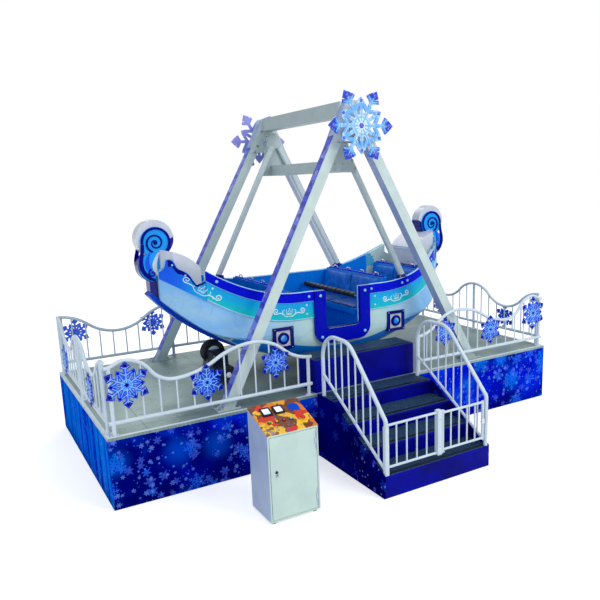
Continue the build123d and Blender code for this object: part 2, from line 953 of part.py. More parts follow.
def boat_floor():
    low = floor_height - floor_thickness
    return block(-half_length, half_length, -half_beam, half_beam, low, floor_height) & boat_room()


def plan_half(x):
    """Half the boat's outside width at a distance from its middle."""
    run = hull_end - parallel_length
    drop = half_beam - stem_half_width
    radius = (run * run + drop * drop) / (2 * drop)
    along = max(0, x - parallel_length)
    return half_beam - (radius - sqrt(radius * radius - along * along))


def bench_half(front):
    """Half the length of a bench, clear of the hull at its back."""
    back = front + bench_depth + bench_rake + bench_back
    return plan_half(back) - hull_wall - bench_side_gap


def bench(front, seat):
    """A moulded bench facing the middle of the boat, in the right half, with the lap bar's pins."""
    half = bench_half(front)
    back = front + bench_depth
    top = seat + bench_back_height
    low = seat - bench_pan
    leg_front = front + bench_pedestal_front
    leg_back = leg_front + bench_pedestal
    outline = [
        (front, seat),
        (front, low),
        (leg_front, low),
        (leg_front, floor_height),
        (leg_back, floor_height),
        (leg_back, low),
        (back + bench_back, low),
        (back + bench_rake + bench_back, top),
        (back + bench_rake, top),
        (back, seat),
    ]
    body = slab_xz(outline, -half, half) & boat_room()
    pivot_x = back - bar_pivot_back
    pivot_z = seat + bar_pivot_rise
    cheek = [
        (front + bench_depth / 3, seat),
        (pivot_x - cheek_margin, pivot_z + cheek_margin),
        (back + bench_back / 2, pivot_z + cheek_margin),
        (back + bench_back / 2, seat - bench_pan),
    ]
    pin_end = half + bar_side_gap + 2 * bar_radius
    for side in (-1, 1):
        inner, outer = sorted((side * (half - cheek_thickness), side * half))
        body += slab_xz(cheek, inner, outer)
        body += bar_y(pivot_x, pivot_z, side * (half - cheek_thickness), side * pin_end, bar_pin_radius)
    return body


def lap_bar(front, seat):
    """A padded bar across a bench of the right half, resting over the lap."""
    side = bench_half(front) + bar_side_gap + bar_radius
    pivot = (front + bench_depth - bar_pivot_back, seat + bar_pivot_rise)
    hand = (pivot[0] - bar_reach, pivot[1] + bar_rise)
    bar = bar_y(hand[0], hand[1], -side, side, bar_radius)
    bar += bar_y(hand[0], hand[1], -side + 2 * pad_radius, side - 2 * pad_radius, pad_radius)
    for y in (-side, side):
        bar += bar_between((pivot[0], y, pivot[1]), (hand[0], y, hand[1]), bar_radius)
        bar += Pos(hand[0], y, hand[1]) * Sphere(bar_radius)
        bar += bar_y(pivot[0], pivot[1], y - bar_radius, y + bar_radius, bar_eye_radius)
    return bar - bar_y(pivot[0], pivot[1], -half_width, half_width, bar_pin_radius + pin_clearance)


# Hangers, drawn for the near side
rod_tilt = atan2(rod_foot_spread, pivot_height - sheer_height - bracket_height)


def hanger_plate():
    """The plate under the swing axis with its hub and the axle stub in the bearing."""
    inner = -hanger_offset - rod_section / 2
    outer = inner - hanger_plate_thickness
    low = pivot_height - hanger_plate_drop
    outline = [
        (-hanger_hub_radius, pivot_height),
        (-hanger_plate_half_bottom, low),
        (hanger_plate_half_bottom, low),
        (hanger_hub_radius, pivot_height),
    ]
    plate = slab_xz(outline, outer, inner) + bar_y(0, pivot_height, outer, inner, hanger_hub_radius)
    face = frame_face(pivot_height, -plate_outer)
    plate += bar_y(0, pivot_height, face + bearing_length + swing_play, outer, hanger_boss_radius)
    return plate + bar_y(0, pivot_height, face - head_plate_thickness, outer, axle_radius)


def hanger_rod():
    """The left box tube from the near hanger plate down to the gunwale, with its foot bracket."""
    length = (pivot_height - sheer_height) / cos(rod_tilt)
    section = RectangleRounded(rod_section, rod_section, rod_corner)
    bar = Pos(0, 0, -length) * extrude(section, amount=length - rod_start)
    bar = Pos(0, -hanger_offset, pivot_height) * Rot(0, rod_tilt * 180 / pi, 0) * bar
    bracket = Box(bracket_length, bracket_width, 2 * bracket_height)
    return bar + Pos(-rod_foot_spread, -hanger_offset, sheer_height) * bracket - below_sheer(0)


def cross_tube():
    """The box tube between the two hanger plates."""
    end = hanger_offset + rod_section / 2
    half = cross_tube_section / 2
    middle = pivot_height - cross_tube_drop
    return block(-half, half, -end, end, middle - half, middle + half)


# Drive
tyre_height = pivot_height - sqrt((keel_radius + tyre_keel_gap + tyre_radius) ** 2 - tyre_at ** 2)
drive_end = tyre_width / 2 + drive_play


def drive_tyre():
    tyre = bar_y(-tyre_at, tyre_height, -tyre_width / 2, tyre_width / 2, tyre_radius)
    tyre = fillet(tyre.edges().filter_by(GeomType.CIRCLE), tyre_width / 5)
    return tyre - bar_y(-tyre_at, tyre_height, -tyre_width, tyre_width, hub_radius)


def drive_hub():
    hub = bar_y(-tyre_at, tyre_height, -tyre_width / 2, tyre_width / 2, hub_radius)
    return hub - bar_y(-tyre_at, tyre_height, -tyre_width, tyre_width, drive_axle_radius + pin_clearance)


def drive_stand():
    """Two stand plates on the deck with the axle between them."""
    half = drive_stand_length / 2
    top = tyre_height + hub_radius / 2
    stand = bar_y(-tyre_at, tyre_height, -drive_end, drive_end, drive_axle_radius)
    for side in (-1, 1):
        y0, y1 = sorted((side * drive_end, side * (drive_end + drive_stand_thickness)))
        stand += slab_xz(
            [(-tyre_at - half, deck_top), (-tyre_at + half, deck_top),
             (-tyre_at + half / 2, top), (-tyre_at - half / 2, top)], y0, y1)
    return stand


def drive_motor():
    """Gearbox and motor beside the near stand plate."""
    back = -drive_end - drive_stand_thickness
    front = back - gearbox_size
    half = gearbox_size / 2
    top = tyre_height + hub_radius / 2
    gearbox = block(-tyre_at - half, -tyre_at + half, front, back, deck_top, top)
    return gearbox + bar_y(-tyre_at, deck_top + motor_rise, front - motor_length, front, motor_radius)


# Control cabinet
cabinet_left = cabinet_x - cabinet_width / 2
cabinet_right = cabinet_x + cabinet_width / 2
cabinet_back = -half_width - cabinet_gap
cabinet_face = cabinet_back - cabinet_depth
door_left = cabinet_left + door_margin
door_right = cabinet_right - door_margin
door_low = cabinet_foot_height + door_margin
door_high = cabinet_front_height - door_margin
knuckle_x = door_right + door_gap / 2
knuckle_y = cabinet_face - hinge_radius
hinge_levels = (door_low + hinge_inset, door_high - hinge_inset)


def cabinet_shell():
    """Sides, back and bottom with an open top and a door opening in the front."""
    w = cabinet_wall
    outline = [
        (cabinet_face, cabinet_foot_height), (cabinet_back, cabinet_foot_height),
        (cabinet_back, cabinet_back_height), (cabinet_face, cabinet_front_height)]
    inner = [
        (cabinet_face + w, cabinet_foot_height + w), (cabinet_back - w, cabinet_foot_height + w),
        (cabinet_back - w, reach), (cabinet_face + w, reach)]
    shell = slab_yz(outline, cabinet_left, cabinet_right)
    shell -= slab_yz(inner, cabinet_left + w, cabinet_right - w)
    shell -= block(
        door_left - door_gap, door_right + door_gap, cabinet_face, cabinet_face + w,
        door_low - door_gap, door_high + door_gap)
    leaf_end = door_right + door_margin - door_gap
    for z in hinge_levels:
        for middle in (z - hinge_length, z + hinge_length):
            low = middle - hinge_length / 2 + hinge_play
            high = middle + hinge_length / 2 - hinge_play
            shell += bar_z(knuckle_x, knuckle_y, low, high, hinge_radius)
            shell += block(knuckle_x, leaf_end, knuckle_y, cabinet_face, low, high)
        shell += bar_z(knuckle_x, knuckle_y, z - hinge_length, z + hinge_length, hinge_pin_radius)
    return shell


def control_panel():
    """The sloping top plate that carries the controls."""
    outline = [
        (cabinet_face, cabinet_front_height),
        (cabinet_back, cabinet_back_height),
        (cabinet_back, cabinet_back_height + panel_plate),
        (cabinet_face, cabinet_front_height + panel_plate),
    ]
    return slab_yz(outline, cabinet_left, cabinet_right)


def cabinet_feet():
    r = cabinet_foot_radius
    feet = []
    for x in (cabinet_left + 2 * r, cabinet_right - 2 * r):
        for y in (cabinet_face + 2 * r, cabinet_back - 2 * r):
            feet.append(bar_z(x, y, 0, cabinet_foot_height, r))
    return feet


def cabinet_door():
    """The door plate with its knuckles."""
    door = block(door_left, door_right, cabinet_face, cabinet_face + door_plate, door_low, door_high)
    for z in hinge_levels:
        low = z - hinge_length / 2
        high = z + hinge_length / 2
        door += block(door_right - door_margin, knuckle_x, knuckle_y, cabinet_face, low, high)
        door += bar_z(knuckle_x, knuckle_y, low, high, hinge_radius)
        door -= bar_z(knuckle_x, knuckle_y, low, high, hinge_pin_radius + pin_clearance)
    return door


# Write every node
os.makedirs("parts", exist_ok=True)
save("base_long_rails", *base_long_rails())
save("base_cross_members", *base_cross_members())
save("base_posts", *base_posts())
save("deck", deck())
front_skirt = skirt(-half_length, -stair_half, -half_width, -frame_y)
save("skirts_front", front_skirt, other_end(front_skirt))
end_skirt = skirt(-half_length, -frame_x, -frame_y, half_width)
save("skirts_ends", end_skirt, other_end(end_skirt))
save("skirt_back", skirt(-frame_x, frame_x, frame_y, half_width))
save("fences_front", front_fence(), other_end(front_fence()))
save("fences_ends", side_fence(), other_end(side_fence()))
save("fence_back", back_fence())
save("fence_snowflakes", *fence_flakes())
left_leg = near_leg()
left_legs = [left_leg, across(left_leg)]
save("legs_left", *left_legs)
save("legs_right", *[other_end(leg) for leg in left_legs])
head_inner, head_outer = near_head()
save("frame_heads", head_inner, head_outer, across(head_inner), across(head_outer))
save("top_beam", top_beam())
save("large_snowflakes", near_flake(), across(near_flake()))
save("stair_treads", *stair_treads())
save("stair_risers", *stair_risers())
save("stair_sides", stair_side(), other_end(stair_side()))
save("boarding_step", boarding_step())
save("stair_rails", stair_rail(), other_end(stair_rail()))
save("gate_fixed_panel", gate_fixed_panel())
save("stair_gate", stair_gate())
save("drive_stand", drive_stand())
save("drive_motor", drive_motor())
save("drive_tyre", drive_tyre())
save("drive_hub", drive_hub())
save("hull_bottom", hull_bottom())
save("hull_near_left", hull_side(-1, -1))
save("hull_near_right", hull_side(-1, 1))
save("hull_far_left", hull_side(1, -1))
save("hull_far_right", hull_side(1, 1))
save("gunwales", side_boards(gunwale_proud, 0, gunwale_depth))
save("waist_boards", side_boards(waist_proud, gunwale_depth, waist_depth))
save("bow_boards", bow_boards())
save("bow_decks", both_ends(bow_deck()))
save("keel_band", keel_band())
save("door_trim", door_trim())
save("windows", *windows())
save("scroll_cores", both_ends(scroll_core()))
reliefs = scroll_reliefs()
save("scroll_reliefs", *reliefs, *[other_end(relief) for relief in reliefs])
save("boat_floor", boat_floor())
for name, front, seat in (
        ("inner", bench_inner_front, bench_inner_seat),
        ("outer", bench_outer_front, bench_outer_seat)):
    right_bench = bench(front, seat)
    right_bar = lap_bar(front, seat)
    save("benches_" + name, right_bench, other_end(right_bench))
    save("lap_bar_right_" + name, right_bar)
    save("lap_bar_left_" + name, other_end(right_bar))
near_hanger = hanger_plate()
save("hanger_plates", near_hanger, across(near_hanger))
near_rods = both_ends(hanger_rod())
save("hanger_rods", near_rods, across(near_rods))
save("cross_tube", cross_tube())
save("control_cabinet", cabinet_shell())
save("control_panel", control_panel())
save("cabinet_feet", *cabinet_feet())
save("cabinet_door", cabinet_door())
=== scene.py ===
from math import asin, atan2, cos, pi, radians, sin, sqrt, tan

import bpy
from mathutils import Matrix, Vector


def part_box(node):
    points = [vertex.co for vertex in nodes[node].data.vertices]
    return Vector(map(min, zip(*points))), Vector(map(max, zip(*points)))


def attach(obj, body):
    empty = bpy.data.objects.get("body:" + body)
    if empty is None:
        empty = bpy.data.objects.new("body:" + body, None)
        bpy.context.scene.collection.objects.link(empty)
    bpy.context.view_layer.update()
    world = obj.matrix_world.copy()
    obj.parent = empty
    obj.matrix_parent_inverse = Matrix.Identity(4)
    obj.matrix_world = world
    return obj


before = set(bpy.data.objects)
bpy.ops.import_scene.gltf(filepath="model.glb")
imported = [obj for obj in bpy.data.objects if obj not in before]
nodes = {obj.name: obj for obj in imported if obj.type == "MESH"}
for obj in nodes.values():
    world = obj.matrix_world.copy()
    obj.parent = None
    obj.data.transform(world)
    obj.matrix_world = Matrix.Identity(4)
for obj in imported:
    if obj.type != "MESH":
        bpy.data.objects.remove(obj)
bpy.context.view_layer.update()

# Sizes in metres, repeated from the CAD source
DECK = 0.76
HALF_LENGTH, HALF_WIDTH = 3.05, 1.43
FENCE_X, FENCE_Y, FENCE_TUBE = 3.01, 1.39, 0.02
STAIR_HALF, STAIR_FRONT = 0.71, -2.77
STEP_RUN, STEP_RISE, FIRST_RISE = 0.335, 0.17, 0.25
BOARDING_TOP, BOARDING_FRONT = 1.15, -1.39
PIVOT = 3.76
FOOT = Vector((1.753, 1.262, DECK))
APEX = Vector((0, 1.136, 4.010))
SHEER, SHEER_FLAT, SHEER_RADIUS = 1.855, 0.6, 1.833
GUNWALE_END, GUNWALE_DEPTH, GUNWALE_PROUD = 1.66, 0.11, 0.025
WAIST_DEPTH, WAIST_PROUD = 0.22, 0.012
HALF_BEAM, PARALLEL, PLAN_RADIUS = 0.85, 0.9, 1.3114
HULL_BOTTOM, HULL_WALL = 2.82, 0.04
DOOR_HALF, DOOR_SILL, TRIM, TRIM_PROUD = 0.25, 1.37, 0.15, 0.05
BOW_WAVE = ((0, 2.08), (.085, 2.045), (.148, 2.15), (.202, 2.198), (.245, 2.225), (.285, 2.31), (.318, 2.325))
SCROLL, SCROLL_RADIUS = Vector((-2.05, 2.52)), 0.175
RELIEF_FACE = 0.102
WINDOW_X, WINDOW_Z, WINDOW_HALF = 0.83, 1.33, 0.097
BENCHES = ((0.27, 1.53, 0.73), (1.01, 1.56, 0.5687))
BENCH_DEPTH, BACK_HEIGHT, BACK_LEAN = 0.38, 0.37, 0.07
TYRE, TYRE_RADIUS, HUB_RADIUS = Vector((-1.42, 0, 1.0879)), 0.15, 0.08
MOTOR_BACK, MOTOR_FRONT, MOTOR_Z, MOTOR_RADIUS = -0.272, -0.522, 0.9, 0.105
HANGER_Y, ROD_HALF, PLATE_THICK = 0.828, 0.035, 0.02
CABINET_X, CABINET_FACE, CABINET_BACK = (-1.88, -1.35), -2.581, -2.151
PANEL_FRONT, PANEL_BACK = 0.897, 1.047
GATE_Y, RAIL_X = -2.74, 0.671
FRONT_FLAKES = ((2.815, 0.503, 0.24), (2.005, 0.38, 0.2), (1.212, 0.459, 0.19))
BACK_FLAKES, BACK_FLAKE_RISE = (0.93, 1.765, 2.796), 0.51
END_FLAKES, END_FLAKE_RISE, SMALL_FLAKE = (-0.657, 0.893), 0.3, 0.19
LARGE_FLAKE, LARGE_ARM, SMALL_ARM = 0.43, 0.1, 0.13


def srgb(red, green, blue):
    """Linear colour from picture values of 0 to 255."""
    return tuple((c / 255 / 12.92) if c <= 10 else ((c / 255 + 0.055) / 1.055) ** 2.4 for c in (red, green,
                                                                                                blue))


# Materials
class Shader:
    """A node material. Its methods add nodes and return their output sockets."""

    def __init__(self, name):
        self.material = bpy.data.materials.new(name)
        self.material.use_nodes = True
        self.tree = self.material.node_tree
        self.surface = self.tree.nodes["Principled BSDF"]
        self.place = self.add("ShaderNodeTexCoord").outputs["Object"]
        self.x, self.y, self.z = self.split(self.place)

    def add(self, kind):
        return self.tree.nodes.new(kind)

    def feed(self, socket, value):
        if isinstance(value, bpy.types.NodeSocket):
            self.tree.links.new(value, socket)
        elif isinstance(value, tuple) and len(value) == 3 and socket.type == "RGBA":
            socket.default_value = (*value, 1)
        else:
            socket.default_value = value

    def math(self, operation, *values, clamp=False):
        node = self.add("ShaderNodeMath")
        node.operation = operation
        node.use_clamp = clamp
        for socket, value in zip(node.inputs, values):
            self.feed(socket, value)
        return node.outputs[0]

    def mul(self, first, second):
        return self.math("MULTIPLY", first, second)

    def plus(self, first, second):
        return self.math("ADD", first, second)

    def sub(self, first, second):
        return self.math("SUBTRACT", first, second)

    def line(self, value, factor, shift):
        return self.math("MULTIPLY_ADD", value, factor, shift)

    def fold(self, value, span):
        return self.math("PINGPONG", value, span)

    def size(self, value):
        return self.math("ABSOLUTE", value)

    def root(self, value):
        return self.math("SQRT", value)

    def vector(self, operation, *values, output=0):
        node = self.add("ShaderNodeVectorMath")
        node.operation = operation
        for socket, value in zip(node.inputs, values):
            self.feed(socket, value)
        return node.outputs[output]

    def split(self, value):
        node = self.add("ShaderNodeSeparateXYZ")
        self.feed(node.inputs[0], value)
        return node.outputs

    def join(self, x, y, z=0.0):
        node = self.add("ShaderNodeCombineXYZ")
        for socket, value in zip(node.inputs, (x, y, z)):
            self.feed(socket, value)
        return node.outputs[0]

    def noise(self, scale, detail=2.0, vector=None, stretch=None):
        node = self.add("ShaderNodeTexNoise")
        place = vector or self.place
        if stretch:
            place = self.vector("MULTIPLY", place, stretch)
        self.feed(node.inputs["Vector"], place)
        node.inputs["Scale"].default_value = scale
        node.inputs["Detail"].default_value = detail
        return node.outputs["Fac"]

    def cells(self, scale, vector=None, feature="F1", randomness=1.0):
        node = self.add("ShaderNodeTexVoronoi")
        node.feature = feature
        self.feed(node.inputs["Vector"], vector or self.place)
        node.inputs["Scale"].default_value = scale
        node.inputs["Randomness"].default_value = randomness
        return node

    def mix(self, factor, first, second, blend="MIX"):
        node = self.add("ShaderNodeMix")
        node.data_type = "RGBA"
        node.blend_type = blend
        self.feed(node.inputs[0], factor)
        self.feed(node.inputs[6], first)
        self.feed(node.inputs[7], second)
        return node.outputs[2]

    def ramp(self, value, low, high, out_low=0.0, out_high=1.0, smooth=True):
        node = self.add("ShaderNodeMapRange")
        node.interpolation_type = "SMOOTHSTEP" if smooth else "LINEAR"
        self.feed(node.inputs["Value"], value)
        for name, number in (("From Min", low), ("From Max", high), ("To Min", out_low),
                             ("To Max", out_high)):
            self.feed(node.inputs[name], number)
        return node.outputs["Result"]

    def any(self, *masks):
        total = masks[0]
        for mask in masks[1:]:
            total = self.math("MAXIMUM", total, mask)
        return total

    def both(self, *masks):
        total = masks[0]
        for mask in masks[1:]:
            total = self.mul(total, mask)
        return total

    def set(self, colour, rough, height=None, depth=0.001, metallic=0.0, coat=0.0, speck=0.06, shine=0.22):
        """Finishes the material: colour with faint mottling, uneven roughness and bump."""
        mottle = self.ramp(self.noise(6.0, 4.0), 0.3, 0.7, 1 - speck, 1 + speck, smooth=False)
        shade = self.vector("MULTIPLY", colour, self.join(mottle, mottle, mottle))
        self.feed(self.surface.inputs["Base Color"], shade)
        uneven = self.ramp(self.noise(14.0, 3.0), 0.3, 0.7, max(0.03, rough - 0.07), rough + 0.07,
                           smooth=False)
        self.feed(self.surface.inputs["Roughness"], uneven)
        self.surface.inputs["Metallic"].default_value = metallic
        self.surface.inputs["Coat Weight"].default_value = coat
        self.surface.inputs["Coat Roughness"].default_value = 0.08
        self.surface.inputs["Specular IOR Level"].default_value = shine
        fine = self.mul(self.noise(190.0, 2.0), 0.12)
        bump = self.add("ShaderNodeBump")
        bump.inputs["Distance"].default_value = depth
        bump.inputs["Strength"].default_value = 0.6
        self.feed(bump.inputs["Height"], self.plus(height, fine) if height else fine)
        self.feed(self.surface.inputs["Normal"], bump.outputs["Normal"])
        return self.material


def painted(name, colour, rough=0.35, coat=0.05, metallic=0.0, speck=0.05, shine=0.2):
    """Sprayed paint, with a little dirt in random patches."""
    s = Shader(name)
    darkening = s.ramp(s.noise(3.2, 5.0), 0.45, 0.8, 0.0, 0.16)
    shade = s.mix(darkening, colour, tuple(0.72 * c for c in colour))
    return s.set(shade, rough, coat=coat, metallic=metallic, speck=speck, shine=shine)


def tinted(name, colour):
    """A small glossy plastic lamp or stud, with painted shade that darkens it towards the rim."""
    s = Shader(name)
    facing = s.add("ShaderNodeLayerWeight")
    facing.inputs["Blend"].default_value = 0.4
    # Painted shade: the colour darkens towards the rim, where the surface turns from view.
    shade = s.mix(facing.outputs["Facing"], colour, tuple(0.55 * c for c in colour))
    return s.set(shade, 0.18, coat=0.6)


def snow_mask(s, u, v, scale, shift, small, large):
    """Six-armed snowflakes of mixed sizes, one in each cell. Gives the mask and a random value."""
    place = s.join(s.line(u, scale, shift), s.line(v, scale, shift))
    cell = s.cells(1.0, place, randomness=0.85)
    cell.voronoi_dimensions = "2D"
    away = s.vector("SUBTRACT", place, cell.outputs["Position"])
    dx, dy, _ = s.split(away)
    picks = s.split(cell.outputs["Color"])
    size = s.ramp(picks[0], 0.0, 1.0, small, large, smooth=False)
    angle = s.plus(s.math("ARCTAN2", dy, dx), s.mul(picks[1], 1.05))
    fold = s.fold(angle, pi / 6)
    far = s.math("DIVIDE", s.vector("LENGTH", away, output=1), size)
    along = s.mul(far, s.math("COSINE", fold))
    across = s.mul(far, s.math("SINE", fold))
    parts = [s.both(s.ramp(across, 0.05, 0.1, 1.0, 0.0), s.ramp(along, 0.95, 1.02, 1.0, 0.0))]
    for at, length in ((0.34, 0.24), (0.64, 0.2)):
        side = s.sub(s.mul(s.sub(along, at), 0.866),
                      s.mul(across, 0.5))
        line = s.ramp(s.size(side), 0.035, 0.08, 1.0, 0.0)
        parts.append(s.both(line, s.ramp(across, length, length + 0.03, 1.0, 0.0)))
    parts.append(s.ramp(far, 0.12, 0.2, 1.0, 0.0))
    return s.any(*parts), picks[2]


def snow_dots(s, u, v, scale, shift, radius, share):
    """Round soft dots in a share of the cells."""
    place = s.join(s.line(u, scale, shift), s.line(v, scale, shift))
    cell = s.cells(1.0, place)
    cell.voronoi_dimensions = "2D"
    picks = s.split(cell.outputs["Color"])
    dot = s.ramp(cell.outputs["Distance"], radius * 0.45, radius, 1.0, 0.0)
    return s.both(dot, s.ramp(picks[0], 1 - share, 1.01 - share))


def snow_print():
    """Deep-blue printed vinyl with glows, snowflakes and a few dots, brighter at the two ends, with painted
    shade along the bottom.
    """
    s = Shader("snow_print")
    u = s.plus(s.x, s.y)
    glow = s.ramp(s.noise(0.9, 3.0), 0.42, 0.66)
    shade = s.mix(glow, srgb(0, 4, 116), srgb(0, 22, 212))
    streak = s.ramp(s.noise(1.9, 4.0), 0.5, 0.72)
    shade = s.mix(s.mul(streak, 0.75), shade, srgb(0, 62, 232))
    end = s.math("GREATER_THAN", s.size(s.x), HALF_LENGTH - 0.004)
    rays = s.ramp(s.noise(1.0, 4.0, stretch=(1.0, 7.0, 0.7)), 0.36, 0.62)
    bright = s.mix(rays, srgb(0, 44, 190), srgb(0, 128, 250))
    bright = s.mix(s.ramp(s.noise(1.0, 2.0, stretch=(1.0, 4.0, 1.6)), 0.6, 0.72), bright, srgb(10, 150, 240))
    shade = s.mix(s.mul(end, 0.85), shade, bright)
    # Painted shade: darker towards the bottom, along the floor.
    shade = s.mix(s.ramp(s.z, 0.0, 0.22, 0.4, 0.0), shade, srgb(0, 0, 60))
    calm = s.sub(1.0, s.mul(end, 0.55))
    for scale, shift, small, large, colour, share, strength in (
            (1.9, 3.7, 0.17, 0.34, srgb(12, 128, 236), 0.6, 0.7),
            (3.4, 9.1, 0.16, 0.36, srgb(40, 104, 244), 0.55, 0.75),
            (6.2, 1.3, 0.16, 0.38, srgb(70, 96, 226), 0.55, 0.7),
            (11.0, 5.5, 0.16, 0.36, srgb(110, 150, 250), 0.4, 0.7)):
        mask, pick = snow_mask(s, u, s.z, scale, shift, small, large)
        shown = s.both(mask, s.ramp(pick, 1 - share, 1.02 - share), calm, strength)
        shade = s.mix(shown, shade, colour)
    halo = s.cells(1.9, s.join(s.line(u, 1.0, 3.7 / 1.9), s.line(s.z, 1.0, 3.7 / 1.9)))
    halo.voronoi_dimensions = "2D"
    halo.inputs["Randomness"].default_value = 0.85
    around = s.ramp(halo.outputs["Distance"], 0.04, 0.42, 0.4, 0.0)
    shade = s.mix(s.both(around, calm), shade, srgb(0, 96, 240))
    for scale, shift, radius, share, colour in (
            (14.0, 2.0, 0.2, 0.2, srgb(60, 130, 250)),
            (30.0, 5.0, 0.24, 0.16, srgb(50, 110, 245))):
        dots = s.both(snow_dots(s, u, s.z, scale, shift, radius, share), calm, 0.7)
        shade = s.mix(dots, shade, colour)
    seam = s.fold(s.plus(u, 0.61), 0.61)
    line = s.ramp(seam, 0.0015, 0.004, 1.0, 0.0)
    shade = s.mix(s.mul(line, 0.5), shade, srgb(0, 0, 50))
    return s.set(shade, 0.55, height=s.mul(line, -2.0), speck=0.04, shine=0.0)


def checker_plate(name, colour, sheet=1.22):
    """Steel plate with raised lozenges set crosswise in turn, and sheet joints."""
    s = Shader(name)
    pitch = 0.042
    masks = []
    for shift, turn in ((0.0, 1), (0.5, -1)):
        u = s.sub(s.math("FRACT", s.line(s.x, 1 / pitch, shift)), 0.5)
        v = s.sub(s.math("FRACT", s.line(s.y, 1 / pitch, shift)), 0.5)
        p = s.size(s.plus(u, s.mul(v, turn)))
        q = s.size(s.sub(u, s.mul(v, turn)))
        reach = s.plus(p, s.mul(q, 3.4))
        masks.append(s.ramp(reach, 0.34, 0.5, 1.0, 0.0))
    raised = s.any(*masks)
    line_x = s.ramp(s.fold(s.plus(s.x, 0.2), sheet / 2), 0.001, 0.004, 1.0, 0.0)
    line_y = s.ramp(s.fold(s.y, sheet / 2), 0.001, 0.004, 1.0, 0.0)
    line = s.any(line_x, line_y)
    worn = s.ramp(s.noise(2.0, 5.0), 0.35, 0.75)
    shade = s.mix(worn, colour, tuple(0.66 * c for c in colour))
    shade = s.mix(s.mul(raised, 0.35), shade, tuple(min(1.0, 1.35 * c) for c in colour))
    shade = s.mix(s.mul(line, 0.75), shade, srgb(40, 48, 56))
    height = s.sub(raised, s.mul(line, 1.5))
    return s.set(shade, 0.34, height=height, depth=0.0015, metallic=0.35)


def anti_slip():
    """Dark tread facing with fine ribs from front to back, and plain deep-blue fronts."""
    s = Shader("anti_slip")
    normal = s.split(s.add("ShaderNodeNewGeometry").outputs["Normal"])
    up = s.ramp(normal[2], 0.75, 0.95)
    ribs = s.fold(s.mul(s.x, 1 / 0.016), 0.5)
    grain = s.noise(60.0, 3.0, stretch=(3.0, 0.6, 1.0))
    rubber = s.mix(s.ramp(grain, 0.35, 0.7), srgb(22, 46, 86), srgb(66, 98, 112))
    rubber = s.mix(s.mul(ribs, 0.7), rubber, srgb(8, 16, 70))
    front = s.mix(s.ramp(s.noise(2.0, 3.0), 0.3, 0.7), srgb(0, 0, 112), srgb(0, 6, 158))
    shade = s.mix(up, front, rubber)
    return s.set(shade, 0.5, height=s.both(ribs, up), depth=0.0015, shine=0.08)


def stair_print():
    """Deep-blue side panels with a faint column of bubbles near the front."""
    s = Shader("stair_print")
    shade = s.mix(s.ramp(s.noise(1.6, 3.0), 0.3, 0.7), srgb(0, 0, 84), srgb(0, 4, 132))
    near = s.ramp(s.y, -2.05, -2.5, 0.0, 1.0)
    for scale, radius, colour in ((9.0, 0.3, srgb(70, 90, 225)), (20.0, 0.3, srgb(120, 150, 245))):
        dots = snow_dots(s, s.y, s.z, scale, 4.0, radius, 0.3)
        shade = s.mix(s.both(dots, near, 0.6), shade, colour)
    mask, pick = snow_mask(s, s.y, s.z, 3.2, 6.3, 0.12, 0.3)
    shade = s.mix(s.both(mask, s.ramp(pick, 0.5, 0.52), 0.35), shade, srgb(40, 80, 230))
    return s.set(shade, 0.55, shine=0.0)


def plan_half_nodes(s):
    """Half the boat's outside width at the shaded point."""
    along = s.math("MAXIMUM", s.sub(s.size(s.x), PARALLEL), 0.0)
    chord = s.root(s.sub(PLAN_RADIUS ** 2, s.mul(along, along)))
    return s.plus(s.sub(chord, PLAN_RADIUS), HALF_BEAM)


def sheer_nodes(s):
    """Height of the boat's top line at the shaded point."""
    along = s.math("MAXIMUM", s.sub(s.size(s.x), SHEER_FLAT), 0.0)
    inside = s.math("MAXIMUM", s.sub(SHEER_RADIUS ** 2, s.mul(along, along)), 0.1)
    return s.sub(SHEER + SHEER_RADIUS, s.root(inside))


def hull_print():
    """Moulded hull: pale in the middle, light blue to the ends, ice strokes, and its own colours inside."""
    s = Shader("hull_print")
    away = s.size(s.x)
    blue = s.ramp(s.plus(away, s.mul(s.noise(2.0, 3.0), 0.5)), 0.55, 1.75)
    outside = s.mix(blue, srgb(192, 226, 224), srgb(138, 198, 252))
    wash = s.ramp(s.noise(1.7, 4.0, stretch=(1.0, 1.0, 2.2)), 0.45, 0.72)
    outside = s.mix(s.mul(wash, 0.35), outside, srgb(205, 236, 232))
    bend = s.vector("ADD", s.place,
                    s.vector("MULTIPLY", s.join(s.noise(3.0, 3.0), s.noise(4.0), s.noise(5.0)),
                                             (0.35, 0.35, 0.35)))
    crack = s.cells(3.4, bend, feature="DISTANCE_TO_EDGE")
    stroke = s.ramp(crack.outputs["Distance"], 0.012, 0.04, 1.0, 0.0)
    faint = s.ramp(s.noise(1.3, 2.0), 0.45, 0.62)
    outside = s.mix(s.both(stroke, faint, 0.22), outside, srgb(92, 140, 205))
    middle = s.ramp(away, 1.40, 1.42, 1.0, 0.0)
    drift = s.cells(5.2, bend)
    art = s.ramp(drift.outputs["Distance"], 0.42, 0.5, 1.0, 0.0)
    inside = s.mix(s.mul(art, 0.85), srgb(190, 218, 214), srgb(20, 164, 214))
    spots = s.ramp(s.cells(9.0, bend).outputs["Distance"], 0.2, 0.28, 1.0, 0.0)
    inside = s.mix(s.mul(spots, 0.8), inside, srgb(10, 110, 190))
    inside = s.mix(middle, inside, srgb(0, 122, 228))
    reach = s.root(s.plus(s.math("POWER", s.x, 2.0),
                                  s.math("POWER", s.sub(s.z, PIVOT), 2.0)))
    within = s.both(
        s.math("LESS_THAN", s.size(s.y), s.sub(plan_half_nodes(s), HULL_WALL / 2)),
        s.math("LESS_THAN", reach, HULL_BOTTOM - HULL_WALL / 2))
    return s.set(s.mix(within, outside, inside), 0.3, coat=0.12, speck=0.035, shine=0.16)


